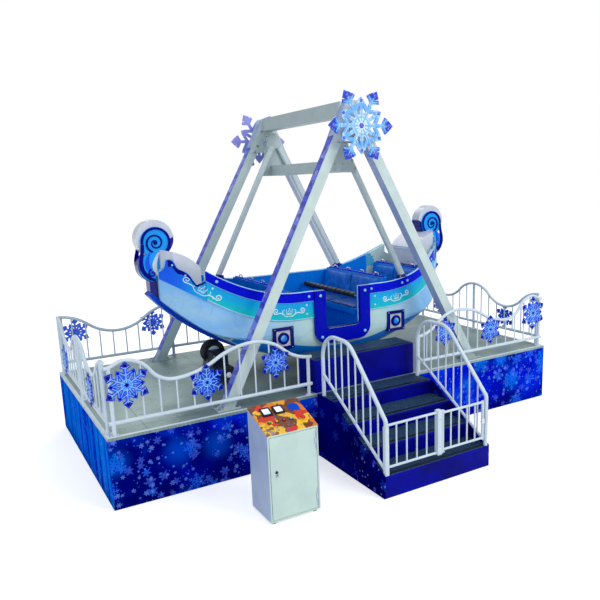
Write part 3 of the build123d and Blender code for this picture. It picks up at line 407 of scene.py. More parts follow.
def band_print(name, top, low, depth_from, depth_to):
    """Boards under the gunwale, shaded from one colour down to another."""
    s = Shader(name)
    under = s.sub(sheer_nodes(s), s.z)
    wave = s.mul(s.sub(s.noise(2.4, 3.0), 0.5), 0.12)
    shade = s.mix(s.ramp(s.plus(under, wave), depth_from, depth_to), top, low)
    return s.set(shade, 0.28, coat=0.1, speck=0.05, shine=0.12)


def bow_print():
    s = Shader("bow_print")
    shade = s.mix(s.ramp(s.size(s.x), 1.68, 1.98), srgb(0, 168, 236), srgb(0, 104, 250))
    shade = s.mix(s.ramp(s.z, 1.9, 2.3, 0.0, 0.4), shade, srgb(0, 70, 240))
    return s.set(shade, 0.28, coat=0.1, shine=0.12)


def scroll_print():
    """White scroll cores that go deep blue on the curl and the stem."""
    s = Shader("scroll_print")
    edge = s.plus(s.z, s.mul(s.sub(s.size(s.x), 2.2), 0.55))
    shade = s.mix(s.ramp(edge, 2.36, 2.375), srgb(0, 12, 128), srgb(206, 212, 224))
    return s.set(shade, 0.25, coat=0.2)


def window_print():
    """Dark square frame, and a dark ring round a light-blue disc with a painted highlight."""
    s = Shader("window_print")
    dx = s.sub(s.size(s.x), WINDOW_X)
    dz = s.sub(s.z, WINDOW_Z)
    away = s.root(s.plus(s.mul(dx, dx), s.mul(dz, dz)))
    centre = s.ramp(away, 0.036, 0.041, 1.0, 0.0)
    shade = s.mix(centre, srgb(0, 6, 116), srgb(24, 140, 245))
    # Painted highlight: the disc goes paler towards its upper outer edge.
    shine = s.both(centre, s.ramp(s.plus(dx, dz), 0.0, 0.03))
    shade = s.mix(s.mul(shine, 0.5), shade, srgb(170, 225, 255))
    return s.set(shade, 0.25, coat=0.05, shine=0.1)


def rod_paint():
    """White tubes with a dark-blue foot bracket on the gunwale."""
    s = Shader("rod_paint")
    foot = s.math("LESS_THAN", s.sub(s.z, sheer_nodes(s)), 0.048)
    near = s.math("LESS_THAN", s.size(s.sub(s.size(s.x), 0.96)), 0.0655)
    shade = s.mix(s.both(foot, near), srgb(196, 210, 214), srgb(12, 30, 140))
    return s.set(shade, 0.32, coat=0.2)


def flake_print(name, centres, core, middle, tip, back):
    """Snowflake colours by distance from the nearest centre, pale dashes along it and a plain back."""
    s = Shader(name)
    reach = None
    for centre, radius in centres:
        far = s.math("DIVIDE", s.vector("DISTANCE", s.place, tuple(centre), output=1), radius)
        reach = far if reach is None else s.math("MINIMUM", reach, far)
    shade = s.mix(s.ramp(reach, 0.14, 0.4), core, middle)
    bands = s.ramp(s.fold(reach, 0.12), 0.075, 0.1)
    shade = s.mix(s.mul(bands, 0.5), shade, core)
    shade = s.mix(s.ramp(reach, 0.66, 0.82), shade, tip)
    sparkle = s.ramp(s.noise(26.0, 3.0), 0.56, 0.68)
    shade = s.mix(s.mul(sparkle, 0.4), shade, tuple(min(1.0, 1.5 * c + 0.03) for c in core))
    normal = s.split(s.add("ShaderNodeNewGeometry").outputs["Normal"])
    inward = s.mul(normal[1], s.math("SIGN", s.y))
    shade = s.mix(s.math("LESS_THAN", inward, -0.5), shade, back)
    return s.set(shade, 0.25, coat=0.15)


def leg_paint_with_shade():
    """Cream-white box tubes with painted blue-grey shade on their side faces, going darker grey towards the
    deck.
    """
    s = Shader("leg_paint_with_shade")
    normal = s.split(s.add("ShaderNodeNewGeometry").outputs["Normal"])
    # Painted shade: the side faces, turned from the light, go blue-grey.
    side = s.ramp(s.size(normal[0]), 0.5, 0.8)
    shade = s.mix(side, srgb(196, 213, 212), srgb(160, 178, 214))
    # Darker grey towards the deck, fading out a quarter metre above it.
    darkening = s.ramp(s.z, DECK, DECK + 0.25, 0.3, 0.0)
    shade = s.mix(darkening, shade, srgb(120, 130, 140))
    return s.set(shade, 0.3, coat=0.25)


def lamp_strip():
    """A strip of lamps: a violet-blue lens with uneven dark gaps."""
    s = Shader("lamp_strip")
    cells = s.math("FRACT", s.line(s.z, 1 / 0.12, s.mul(s.noise(2.2, 1.0), 1.6)))
    dark = s.ramp(s.fold(cells, 0.5), 0.17, 0.26, 1.0, 0.0)
    shade = s.mix(s.ramp(s.noise(2.0, 2.0), 0.4, 0.62), srgb(58, 76, 214), srgb(112, 124, 232))
    shade = s.mix(s.mul(dark, 0.6), shade, srgb(26, 38, 140))
    pale = s.ramp(s.noise(8.0, 2.0), 0.56, 0.7)
    shade = s.mix(s.mul(pale, 0.55), shade, srgb(176, 190, 240))
    return s.set(shade, 0.2, coat=0.2)


def tyre_rubber():
    """Black rubber with tread blocks round the tyre and a plain side wall."""
    s = Shader("tyre_rubber")
    dx = s.sub(s.x, TYRE.x)
    dz = s.sub(s.z, TYRE.z)
    angle = s.math("ARCTAN2", dz, dx)
    blocks = s.math("GREATER_THAN", s.fold(s.mul(angle, 36 / pi), 0.5), 0.14)
    groove = s.math("GREATER_THAN", s.fold(s.mul(s.y, 1 / 0.022), 0.5), 0.12)
    reach = s.root(s.plus(s.mul(dx, dx), s.mul(dz, dz)))
    tread = s.ramp(reach, TYRE_RADIUS - 0.014, TYRE_RADIUS - 0.008)
    height = s.math("MAXIMUM", s.both(blocks, groove), s.sub(1.0, tread))
    shade = s.mix(s.ramp(s.noise(9.0, 4.0), 0.4, 0.8), srgb(26, 28, 34), srgb(58, 60, 66))
    return s.set(shade, 0.6, height=height, depth=0.004)


def panel_print():
    """A generic bright print of warm blots for the control panel."""
    s = Shader("panel_print")
    drift = s.vector("MULTIPLY", s.join(s.noise(5.0), s.noise(6.0), s.noise(7.0)), (0.3, 0.3, 0.3))
    warm = s.cells(9.0, s.vector("ADD", s.place, drift))
    picks = s.split(warm.outputs["Color"])
    shade = s.mix(s.ramp(picks[0], 0.3, 0.7), srgb(226, 120, 24), srgb(246, 196, 40))
    shade = s.mix(s.ramp(picks[1], 0.68, 0.72), shade, srgb(214, 52, 22))
    shade = s.mix(s.ramp(picks[2], 0.74, 0.78), shade, srgb(122, 62, 24))
    shade = s.mix(s.ramp(s.noise(18.0, 3.0), 0.6, 0.66, 0.0, 0.6), shade, srgb(70, 84, 170))
    return s.set(shade, 0.25, coat=0.5)


def shaded_steel_cabinet():
    """Pale painted steel, with painted blue-grey shade on the two sides."""
    s = Shader("cabinet_paint_and_shade")
    normal = s.split(s.add("ShaderNodeNewGeometry").outputs["Normal"])
    # Painted shade: the two side faces, turned from the light, go blue-grey.
    side = s.ramp(s.size(normal[0]), 0.5, 0.8)
    shade = s.mix(side, srgb(200, 222, 216), srgb(160, 178, 210))
    grime = s.ramp(s.noise(3.0, 5.0), 0.5, 0.8, 0.0, 0.14)
    return s.set(s.mix(grime, shade, srgb(120, 136, 150)), 0.38)


def screen_glass():
    s = Shader("screen_glass")
    shade = s.mix(s.ramp(s.noise(20.0, 2.0), 0.4, 0.6), srgb(206, 226, 250), srgb(240, 246, 255))
    s.feed(s.surface.inputs["Emission Color"], shade)
    s.surface.inputs["Emission Strength"].default_value = 0.25
    return s.set(shade, 0.08, coat=1.0)


def vinyl(name, colour):
    """Padded vinyl with a pebbled grain and soft creases."""
    s = Shader(name)
    grain = s.cells(260.0).outputs["Distance"]
    crease = s.noise(9.0, 3.0)
    shade = s.mix(s.ramp(crease, 0.4, 0.75), colour, tuple(1.7 * c + 0.008 for c in colour))
    height = s.plus(s.mul(grain, 0.6), s.mul(crease, 0.8))
    return s.set(shade, 0.42, height=height, depth=0.0012)


def brushed(name, colour, rough=0.28):
    """Brushed or plated metal with fine draw marks."""
    s = Shader(name)
    marks = s.noise(40.0, 4.0, stretch=(8.0, 0.5, 1.0))
    shade = s.mix(s.ramp(marks, 0.35, 0.7), colour, tuple(0.78 * c for c in colour))
    return s.set(shade, rough, height=s.mul(marks, 0.4), depth=0.0006, metallic=1.0)


white_paint = painted("white_paint", srgb(206, 220, 232))
beam_paint = painted("beam_paint", srgb(176, 192, 194), rough=0.4)
cabinet_paint_and_shade = shaded_steel_cabinet()
deck_white = painted("deck_white", srgb(206, 212, 224), rough=0.25, coat=0.2)
steel_paint = painted("steel_paint", srgb(150, 164, 176), rough=0.45)
deep_blue = painted("deep_blue", srgb(0, 14, 212), rough=0.3, coat=0.0, shine=0.06)
trim_blue = painted("trim_blue", srgb(0, 12, 184), rough=0.3, coat=0.0, shine=0.06)
line_blue = painted("line_blue", srgb(0, 8, 134), rough=0.3, coat=0.0, shine=0.06)
keel_blue = painted("keel_blue", srgb(0, 70, 200), rough=0.35, coat=0.0, shine=0.08)
cyan_paint = painted("cyan_paint", srgb(0, 156, 246), rough=0.25, coat=0.1)
mid_blue = painted("mid_blue", srgb(0, 84, 238), rough=0.25, coat=0.1)
pale_line = painted("pale_line", srgb(176, 222, 246), rough=0.25, coat=0.1)
ornament_white = painted("ornament_white", srgb(214, 240, 248), rough=0.25, coat=0.1)
seat_blue = painted("seat_blue", srgb(0, 124, 226), rough=0.3, coat=0.1, shine=0.15)
motor_paint = painted("motor_paint", srgb(22, 30, 52), rough=0.4)
black_plastic = painted("black_plastic", srgb(26, 28, 34), rough=0.4, coat=0.0)
red_plastic = tinted("red_plastic", srgb(216, 30, 26))
green_plastic = tinted("green_plastic", srgb(34, 176, 70))
yellow_plastic = tinted("yellow_plastic", srgb(240, 196, 40))
stud_light = tinted("stud_light", srgb(140, 205, 255))
violet_dot = tinted("violet_dot", srgb(96, 92, 205))
bolt_steel = brushed("bolt_steel", srgb(176, 182, 190), 0.32)
plated = brushed("plated", srgb(208, 212, 220), 0.16)
black_vinyl = vinyl("black_vinyl", srgb(24, 28, 40))
navy_vinyl = vinyl("navy_vinyl", srgb(0, 66, 150))
blue_vinyl = vinyl("blue_vinyl", srgb(0, 100, 200))
deck_plate = checker_plate("deck_plate", srgb(146, 166, 160))
boat_plate = checker_plate("boat_plate", srgb(30, 140, 236), 3.0)
skirt_vinyl = snow_print()
tread_facing = anti_slip()
stair_side_print = stair_print()
hull_finish = hull_print()
waist_finish = band_print("waist_finish", srgb(0, 166, 236), srgb(0, 196, 206), 0.13, 0.33)
bow_finish = bow_print()
window_finish = window_print()
rod_finish = rod_paint()
leg_finish_with_shade = leg_paint_with_shade()
strip_finish = lamp_strip()
tyre_finish = tyre_rubber()
panel_finish = panel_print()
scroll_finish = scroll_print()
screen_finish = screen_glass()

flake_centres = []
for side in (-1, 1):
    for x, rise, radius in FRONT_FLAKES:
        flake_centres.append((Vector((side * x, -FENCE_Y - .03, DECK + rise)), radius))
    for x in BACK_FLAKES:
        flake_centres.append((Vector((side * x, FENCE_Y + .03, DECK + BACK_FLAKE_RISE)), SMALL_FLAKE))
    for y in END_FLAKES:
        flake_centres.append((Vector((side * (FENCE_X + .03), y, DECK + END_FLAKE_RISE)), SMALL_FLAKE))
small_flake = flake_print("small_flake", flake_centres, srgb(10, 104, 250), srgb(0, 62, 232),
                          srgb(0, 24, 186),
                          back=srgb(70, 118, 255))
big_low, big_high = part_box("large_snowflakes")
large_centres = [(Vector((0, y, PIVOT)), LARGE_FLAKE) for y in (big_low.y + .01, big_high.y - .01)]
large_flake = flake_print("large_flake", large_centres, srgb(214, 238, 250), srgb(110, 174, 240),
                          srgb(22, 70, 206),
                          back=srgb(150, 152, 234))

FINISHES = {
    steel_paint: ("base_long_rails", "base_cross_members", "base_posts", "drive_stand", "cabinet_feet"),
    deck_plate: ("deck",),
    boat_plate: ("boat_floor",),
    skirt_vinyl: ("skirts_front", "skirts_ends", "skirt_back"),
    white_paint: ("fences_front", "fences_ends", "fence_back", "stair_rails", "gate_fixed_panel",
                  "stair_gate",
                  "drive_hub"),
    beam_paint: ("top_beam", "cross_tube", "hanger_plates"),
    small_flake: ("fence_snowflakes",),
    large_flake: ("large_snowflakes",),
    leg_finish_with_shade: ("legs_left", "legs_right", "frame_heads"),
    tread_facing: ("stair_treads", "stair_risers", "boarding_step"),
    stair_side_print: ("stair_sides",),
    motor_paint: ("drive_motor",),
    tyre_finish: ("drive_tyre",),
    hull_finish: ("hull_bottom", "hull_near_left", "hull_near_right", "hull_far_left", "hull_far_right"),
    deep_blue: ("gunwales",),
    waist_finish: ("waist_boards",),
    bow_finish: ("bow_boards",),
    deck_white: ("bow_decks",),
    scroll_finish: ("scroll_cores",),
    keel_blue: ("keel_band",),
    trim_blue: ("door_trim",),
    window_finish: ("windows",),
    cyan_paint: ("scroll_reliefs",),
    seat_blue: ("benches_inner", "benches_outer"),
    plated: ("lap_bar_left_inner", "lap_bar_right_inner", "lap_bar_left_outer", "lap_bar_right_outer"),
    rod_finish: ("hanger_rods",),
    cabinet_paint_and_shade: ("control_cabinet", "cabinet_door"),
    panel_finish: ("control_panel",),
}
for finish, names in FINISHES.items():
    for name in names:
        nodes[name].data.materials.clear()
        nodes[name].data.materials.append(finish)


# Mesh building
class Piece:
    """Collects simple shapes into one mesh with several finishes."""

    def __init__(self):
        self.points = []
        self.faces = []
        self.marks = []
        self.finishes = []

    def take(self, points, faces, finish):
        if finish not in self.finishes:
            self.finishes.append(finish)
        base = len(self.points)
        self.points.extend(Vector(p) for p in points)
        self.faces.extend(tuple(base + i for i in face) for face in faces)
        self.marks.extend([self.finishes.index(finish)] * len(faces))

    def prism(self, outline, lift, finish, place=None):
        """A flat outline given in 3D, moved along lift. Its two ends are closed."""
        n = len(outline)
        low = [Vector(p) for p in outline]
        high = [p + Vector(lift) for p in low]
        faces = [tuple(range(n - 1, -1, -1)), tuple(range(n, 2 * n))]
        faces += [(i, (i + 1) % n, n + (i + 1) % n, n + i) for i in range(n)]
        self.take([place @ p for p in low + high] if place else low + high, faces, finish)

    def block(self, low, high, finish, place=None, edge=0.0):
        """A block with chamfered upright edges."""
        (x0, y0, z0), (x1, y1, z1) = low, high
        e = edge
        outline = [(x0 + e, y0, z0), (x1 - e, y0, z0), (x1, y0 + e, z0), (x1, y1 - e, z0),
                   (x1 - e, y1, z0), (x0 + e, y1, z0), (x0, y1 - e, z0), (x0, y0 + e, z0)] if e else [
                       (x0, y0, z0), (x1, y0, z0), (x1, y1, z0), (x0, y1, z0)]
        self.prism(outline, (0, 0, z1 - z0), finish, place)

    def lathe(self, base, axis, profile, finish, sides=12):
        """A turned shape: pairs of radius and distance along the axis from its base."""
        up = Vector(axis).normalized()
        out = up.orthogonal().normalized()
        points = []
        for radius, along in profile:
            for i in range(sides):
                spoke = Matrix.Rotation(2 * pi * i / sides, 3, up) @ out
                points.append(Vector(base) + up * along + spoke * radius)
        faces = []
        for ring in range(len(profile) - 1):
            for i in range(sides):
                j = (i + 1) % sides
                faces.append((ring * sides + i, ring * sides + j, (ring + 1) * sides + j,
                              (ring + 1) * sides + i))
        last = (len(profile) - 1) * sides
        faces.append(tuple(range(sides - 1, -1, -1)))
        faces.append(tuple(last + i for i in range(sides)))
        self.take(points, faces, finish)

    def dome(self, base, axis, radius, rise, finish, sides=12):
        self.lathe(base, axis, [(radius, 0), (radius, rise * 0.25), (radius * 0.85, rise * 0.65),
                                (radius * 0.5, rise * 0.92), (radius * 0.12, rise)], finish, sides)

    def bolt(self, base, axis, radius, finish):
        """A washer with a hexagon head."""
        self.lathe(base, axis, [(radius * 1.5, 0), (radius * 1.5, radius * 0.25)], finish, 14)
        lift = Vector(base) + Vector(axis).normalized() * radius * 0.25
        self.lathe(lift, axis, [(radius, 0), (radius, radius * 0.65), (radius * 0.85, radius * 0.8)],
                   finish, 6)

    def tube(self, path, radius, finish, sides=8, closed=False):
        """A round tube along points. The radius may be a list with one value for each point."""
        path = [Vector(p) for p in path]
        n = len(path)
        sizes = radius if isinstance(radius, (list, tuple)) else [radius] * n
        points = []
        last = None
        for i, p in enumerate(path):
            before = path[i - 1] if i or closed else p
            after = path[(i + 1) % n] if i < n - 1 or closed else p
            way = (after - before).normalized()
            if last is None:
                last = way.orthogonal().normalized()
            last = (last - way * last.dot(way)).normalized()
            turn = way.cross(last)
            for k in range(sides):
                a = 2 * pi * k / sides
                points.append(p + (last * cos(a) + turn * sin(a)) * sizes[i])
        faces = []
        for i in range(n if closed else n - 1):
            for k in range(sides):
                m = (k + 1) % sides
                j = (i + 1) % n
                faces.append((i * sides + k, i * sides + m, j * sides + m, j * sides + k))
        if not closed:
            faces.append(tuple(range(sides - 1, -1, -1)))
            faces.append(tuple((n - 1) * sides + k for k in range(sides)))
        self.take(points, faces, finish)

    def strip(self, upper, lower, inner, outer, finish):
        """A band between two lines of points, with thickness from inner to outer offsets."""
        n = len(upper)
        points = []
        for a, b in zip(upper, lower):
            points += [Vector(a) + inner, Vector(b) + inner, Vector(a) + outer, Vector(b) + outer]
        faces = []
        for i in range(n - 1):
            p, q = 4 * i, 4 * (i + 1)
            faces += [(p + 2, p + 3, q + 3, q + 2), (p + 1, p, q, q + 1), (p, p + 2, q + 2, q),
                      (p + 3, p + 1, q + 1, q + 3)]
        faces += [(0, 1, 3, 2), (4 * n - 4, 4 * n - 2, 4 * n - 1, 4 * n - 3)]
        self.take(points, faces, finish)

    def done(self, name, body, smooth=True):
        mesh = bpy.data.meshes.new(name)
        mesh.from_pydata([tuple(p) for p in self.points], [], self.faces)
        for finish in self.finishes:
            mesh.materials.append(finish)
        mesh.polygons.foreach_set("material_index", self.marks)
        obj = bpy.data.objects.new(name, mesh)
        bpy.context.scene.collection.objects.link(obj)
        if smooth:
            mesh.polygons.foreach_set("use_smooth", [True] * len(mesh.polygons))
            mesh.set_sharp_from_angle(angle=radians(38))
        mesh.update()
        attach(obj, body)
        return obj


def plan_half(x):
    """Half the boat's outside width at a distance from its middle."""
    along = max(0.0, abs(x) - PARALLEL)
    return HALF_BEAM - (PLAN_RADIUS - sqrt(PLAN_RADIUS ** 2 - along ** 2))


def sheer(x):
    """Height of the boat's top line."""
    along = max(0.0, abs(x) - SHEER_FLAT)
    return SHEER + SHEER_RADIUS - sqrt(SHEER_RADIUS ** 2 - along ** 2)


def on_side(x, z, proud, side):
    """A point on the boat's side, standing proud of the hull."""
    return Vector((x, side * (plan_half(x) + proud), z))


def side_normal(x, side):
    """The way the boat's side faces at x."""
    along = max(0.0, abs(x) - PARALLEL)
    slope = along / sqrt(PLAN_RADIUS ** 2 - along ** 2)
    return Vector((slope * (1 if x > 0 else -1), side, 0)).normalized()


def spread(start, end, count):
    return [start + (end - start) * i / (count - 1) for i in range(count)]


def smooth_line(points, steps=8):
    """A curve through points in a plane."""
    out = []
    for i in range(len(points) - 1):
        p0 = Vector(points[max(i - 1, 0)])
        p1, p2 = Vector(points[i]), Vector(points[i + 1])
        p3 = Vector(points[min(i + 2, len(points) - 1)])
        for k in range(steps):
            t = k / steps
            out.append(0.5 * ((2 * p1) + (p2 - p0) * t + (2 * p0 - 5 * p1 + 4 * p2 - p3) * t ** 2
                              + (3 * p1 - p0 - 3 * p2 + p3) * t ** 3))
    out.append(Vector(points[-1]))
    return out


# Boat: gunwale studs and edge lines
def side_spans():
    """The runs of the side boards: the near side is broken by the door trim."""
    door = DOOR_HALF + TRIM
    return [(-1, -GUNWALE_END, -door), (-1, door, GUNWALE_END), (1, -GUNWALE_END, GUNWALE_END)]


edge_lines = Piece()
for side, start, end in side_spans():
    xs = spread(start + 0.004, end - 0.004, 40)
    top = [on_side(x, sheer(x) + 0.002, 0.008, side) for x in xs]
    edge_lines.tube(top, 0.0085, pale_line, 8)
    for drop, size in ((GUNWALE_DEPTH + WAIST_DEPTH - 0.006, 0.006), (GUNWALE_DEPTH + 0.004, 0.004)):
        low = [on_side(x, sheer(x) - drop, WAIST_PROUD, side) for x in xs]
        edge_lines.tube(low, size, pale_line, 6)
edge_lines.done("boat_edge_lines", "boat")

studs = Piece()
for side in (-1, 1):
    for x in (-1.56, -1.02, -0.94, -0.47, 0.44, 0.93, 1.02, 1.56):
        if side == 1 or abs(x) > DOOR_HALF + TRIM:
            studs.dome(on_side(x, sheer(x) - 0.055, GUNWALE_PROUD, side), side_normal(x, side), 0.019,
                       0.012, stud_light)
for x, z in ((-0.325, 1.795), (0.325, 1.795), (-0.315, 1.275), (0.315, 1.275)):
    studs.dome((x, -HALF_BEAM - TRIM_PROUD, z), (0, -1, 0), 0.021, 0.013, stud_light)
for side in (-1, 1):
    for x in (-0.5, 0.5, -1.6, 1.6):
        for drop in (0.16, 0.27):
            studs.dome(on_side(x, sheer(x) - drop, WAIST_PROUD, side), side_normal(x, side), 0.013, 0.009,
                       ornament_white, 10)
studs.done("gunwale_studs", "boat")


# Boat: scroll and crown ornaments
def spiral(centre, radius, start, turns, count, hand=1):
    """Points of a spiral that winds in to its centre."""
    out = []
    for i in range(count):
        t = i / (count - 1)
        a = start + hand * turns * 2 * pi * t
        r = radius * (1 - 0.86 * t)
        out.append(Vector((centre[0] + r * cos(a), centre[1] + r * sin(a))))
    return out


def motif(piece, x0, z0, width, tilt, side, proud):
    """Two scrolls that run to a small crown between them."""
    def put(points, size):
        lie = [on_side(x0 + x * cos(tilt) - z * sin(tilt), z0 + x * sin(tilt) + z * cos(tilt), proud, side)
               for x, z in points]
        taper = [size * (0.55 + 0.45 * sin(pi * (i + 0.5) / len(lie))) for i in range(len(lie))]
        piece.tube(lie, taper, ornament_white, 6)

    half = width / 2
    for hand in (-1, 1):
        eye = (hand * half * 0.8, 0.016)
        curl = spiral(eye, 0.036, -pi / 2, 1.35, 22, hand)
        arm = smooth_line([(0, -0.052), (hand * half * 0.22, -0.05), (hand * half * 0.46, -0.012),
                           tuple(curl[0])], 6)
        put(arm + curl[1:], 0.0078)
        put(smooth_line([(hand * half * 0.34, -0.034), (hand * half * 0.4, 0.012),
                         (hand * half * 0.3, 0.03)], 5), 0.0055)
    crown = [(-0.032, -0.028), (-0.038, 0.022), (-0.017, -0.002), (0, 0.036), (0.017, -0.002), (0.038, 0.022),
             (0.032, -0.028), (-0.032, -0.028)]
    put(crown, 0.0068)
    put([(-0.026, -0.016), (0.026, -0.016)], 0.006)
    for x, z in ((-0.038, 0.029), (0, 0.044), (0.038, 0.029)):
        u = x0 + x * cos(tilt) - z * sin(tilt)
        w = z0 + x * sin(tilt) + z * cos(tilt)
        piece.dome(on_side(u, w, proud, side), side_normal(u, side), 0.007, 0.006, ornament_white, 8)


ornaments = Piece()
for side, places in ((-1, (-1.70, -0.74, 0.84, 1.70)), (1, (-1.70, -0.74, 0.0, 0.74, 1.70))):
    for x in places:
        slope = asin(max(0.0, abs(x) - SHEER_FLAT) / SHEER_RADIUS) * (1 if x > 0 else -1)
        below = WAIST_DEPTH * (0.6 if abs(x) > GUNWALE_END else 0.5)
        motif(ornaments, x, sheer(x) - GUNWALE_DEPTH - below, 0.44, slope, side, WAIST_PROUD)
ornaments.done("waist_ornaments", "boat")

crest = Piece()
for end in (-1, 1):
    for side in (-1, 1):
        wave = smooth_line([(end * (GUNWALE_END + 0.008 + x), z) for x, z in BOW_WAVE], 6)
        upper, lower = [], []
        for i, p in enumerate(wave):
            t = i / (len(wave) - 1)
            deep = 0.022 + 0.065 * t ** 1.5
            upper.append(on_side(p.x, p.y - 0.001, 0, side))
            lower.append(on_side(p.x, p.y - deep, 0, side))
        crest.strip(upper, lower, Vector((0, side * WAIST_PROUD, 0)),
                    Vector((0, side * (WAIST_PROUD + 0.009), 0)), line_blue)
        for x, z in ((1.95, 2.262), (1.845, 2.145)):
            spot = on_side(end * x, z, WAIST_PROUD + 0.009, side)
            crest.dome(spot, side_normal(end * x, side), 0.014, 0.01, stud_light, 10)
crest.done("bow_crests", "boat")


# Boat: the scroll ends
def ribbon(piece, line, widths, face, rise, finish, side, end):
    """A flat band of changing width along a line, on the face of a scroll board."""
    upper, lower = [], []
    n = len(line)
    for i, p in enumerate(line):
        way = Vector(line[min(i + 1, n - 1)]) - Vector(line[max(i - 1, 0)])
        normal = Vector((-way.y, way.x)).normalized()
        t = i / (n - 1)
        width = widths[0] + (widths[1] - widths[0]) * t if len(widths) == 2 else (
            widths[0] + (widths[1] - widths[0]) * min(1, 2 * t) if t < 0.5
            else widths[1] + (widths[2] - widths[1]) * (2 * t - 1))
        a = Vector(p) + normal * width / 2
        b = Vector(p) - normal * width / 2
        upper.append(Vector((-end * a.x, 0, a.y)))
        lower.append(Vector((-end * b.x, 0, b.y)))
    piece.strip(upper, lower, Vector((0, side * face, 0)), Vector((0, side * (face + rise), 0)), finish)


scrolls = Piece()
for end in (-1, 1):
    for side in (-1, 1):
        rim = []
        for i in range(46):
            a = radians(-62) + radians(246) * i / 45
            rim.append(SCROLL + Vector((cos(a), sin(a))) * (SCROLL_RADIUS - 0.016))
        neck = smooth_line([tuple(rim[-1]), (-2.215, 2.42), (-2.24, 2.3), (-2.225, 2.2), (-2.16, 2.11),
                            (-2.085, 2.075)], 8)
        ribbon(scrolls, rim, (0.024, 0.03), RELIEF_FACE, 0.012, line_blue, side, end)
        ribbon(scrolls, neck[1:], (0.036, 0.05, 0.03), RELIEF_FACE, 0.012, line_blue, side, end)
        inner = spiral(SCROLL + Vector((-0.005, -0.01)), 0.112, radians(-110), 1.65, 44, -1)
        ribbon(scrolls, inner, (0.022, 0.016, 0.012), RELIEF_FACE, 0.010, line_blue, side, end)
        scrolls.dome(Vector((-end * (SCROLL.x - 0.005), side * RELIEF_FACE, SCROLL.y - 0.01)), (0, side, 0),
                     0.024, 0.014, line_blue)
        tongue = smooth_line([(-2.02, 2.40), (-2.06, 2.33), (-2.085, 2.25), (-2.07, 2.16), (-2.03, 2.12)], 8)
        ribbon(scrolls, tongue, (0.02, 0.055, 0.02), RELIEF_FACE, 0.008, deck_white, side, end)
        wave = smooth_line([(-2.13, 2.40), (-2.165, 2.3), (-2.15, 2.2), (-2.105, 2.14)], 8)
        ribbon(scrolls, wave, (0.014, 0.05, 0.014), RELIEF_FACE, 0.008, mid_blue, side, end)
        small = spiral((-2.115, 2.16), 0.05, radians(100), 1.2, 26, 1)
        ribbon(scrolls, small, (0.016, 0.014, 0.01), RELIEF_FACE, 0.011, line_blue, side, end)
scrolls.done("scroll_faces", "boat")

# Boat: window fields and rings
window_fields = Piece()
for side in (-1, 1):
    for x in (-WINDOW_X, WINDOW_X):
        w = WINDOW_HALF
        y = side * (HALF_BEAM + 0.0015)
        window_fields.prism([(x - w, y, WINDOW_Z - w), (x + w, y, WINDOW_Z - w), (x + w, y, WINDOW_Z + w),
                             (x - w, y, WINDOW_Z + w)],
                            (0, side * 0.002, 0), deck_white)
        ring = [(x + 0.0555 * cos(2 * pi * i / 40), side * (HALF_BEAM + 0.022),
                 WINDOW_Z + 0.0555 * sin(2 * pi * i / 40))
                for i in range(40)]
        window_fields.tube(ring, 0.006, line_blue, 8, closed=True)
        for dx in (-0.116, 0.116):
            for dz in (-0.116, 0.116):
                window_fields.dome((x + dx, side * (HALF_BEAM + 0.022), WINDOW_Z + dz), (0, side, 0), 0.008,
                                   0.005, bolt_steel, 8)
window_fields.done("window_fields", "boat")


# Boat: padded seats and bars
def rounded_pad(name, corners, thickness, normal, bulge, finish):
    """A stuffed pad over four corners, with a dished, piped outline."""
    a, b, c, d = (Vector(p) for p in corners)
    up = Vector(normal).normalized()
    across, along = 14, 8
    points, faces = [], []
    for layer in (0, 1):
        for j in range(along + 1):
            for i in range(across + 1):
                u, v = i / across, j / along
                p = (a * (1 - u) + b * u) * (1 - v) + (d * (1 - u) + c * u) * v
                edge = min(u, 1 - u, v, 1 - v) * 6
                swell = (1 - (1 - min(1.0, edge)) ** 2)
                groove = 0.25 * max(0.0, 1 - abs(v - 0.5) * 26)
                lift = thickness * (0.45 + 0.55 * swell - groove * 0.5) + bulge * sin(pi * u) * sin(pi * v)
                points.append(p + up * (lift if layer else 0.001))
    row = across + 1
    size = row * (along + 1)
    for j in range(along):
        for i in range(across):
            q = j * row + i
            faces.append((size + q, size + q + 1, size + q + row + 1, size + q + row))
            faces.append((q, q + row, q + row + 1, q + 1))
    rim = [i for i in range(across)] + [across + row * j for j in range(along)] + \
          [row * along + across - i for i in range(across)] + [row * (along - j) for j in range(along)]
    for k, q in enumerate(rim):
        r = rim[(k + 1) % len(rim)]
        faces.append((q, r, size + r, size + q))
    mesh = bpy.data.meshes.new(name)
    mesh.from_pydata([tuple(p) for p in points], [], faces)
    mesh.materials.append(finish)
    mesh.polygons.foreach_set("use_smooth", [True] * len(mesh.polygons))
    obj = bpy.data.objects.new(name, mesh)
    bpy.context.scene.collection.objects.link(obj)
    soft = obj.modifiers.new("soft", "SUBSURF")
    soft.levels = soft.render_levels = 1
    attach(obj, "boat")
    return obj


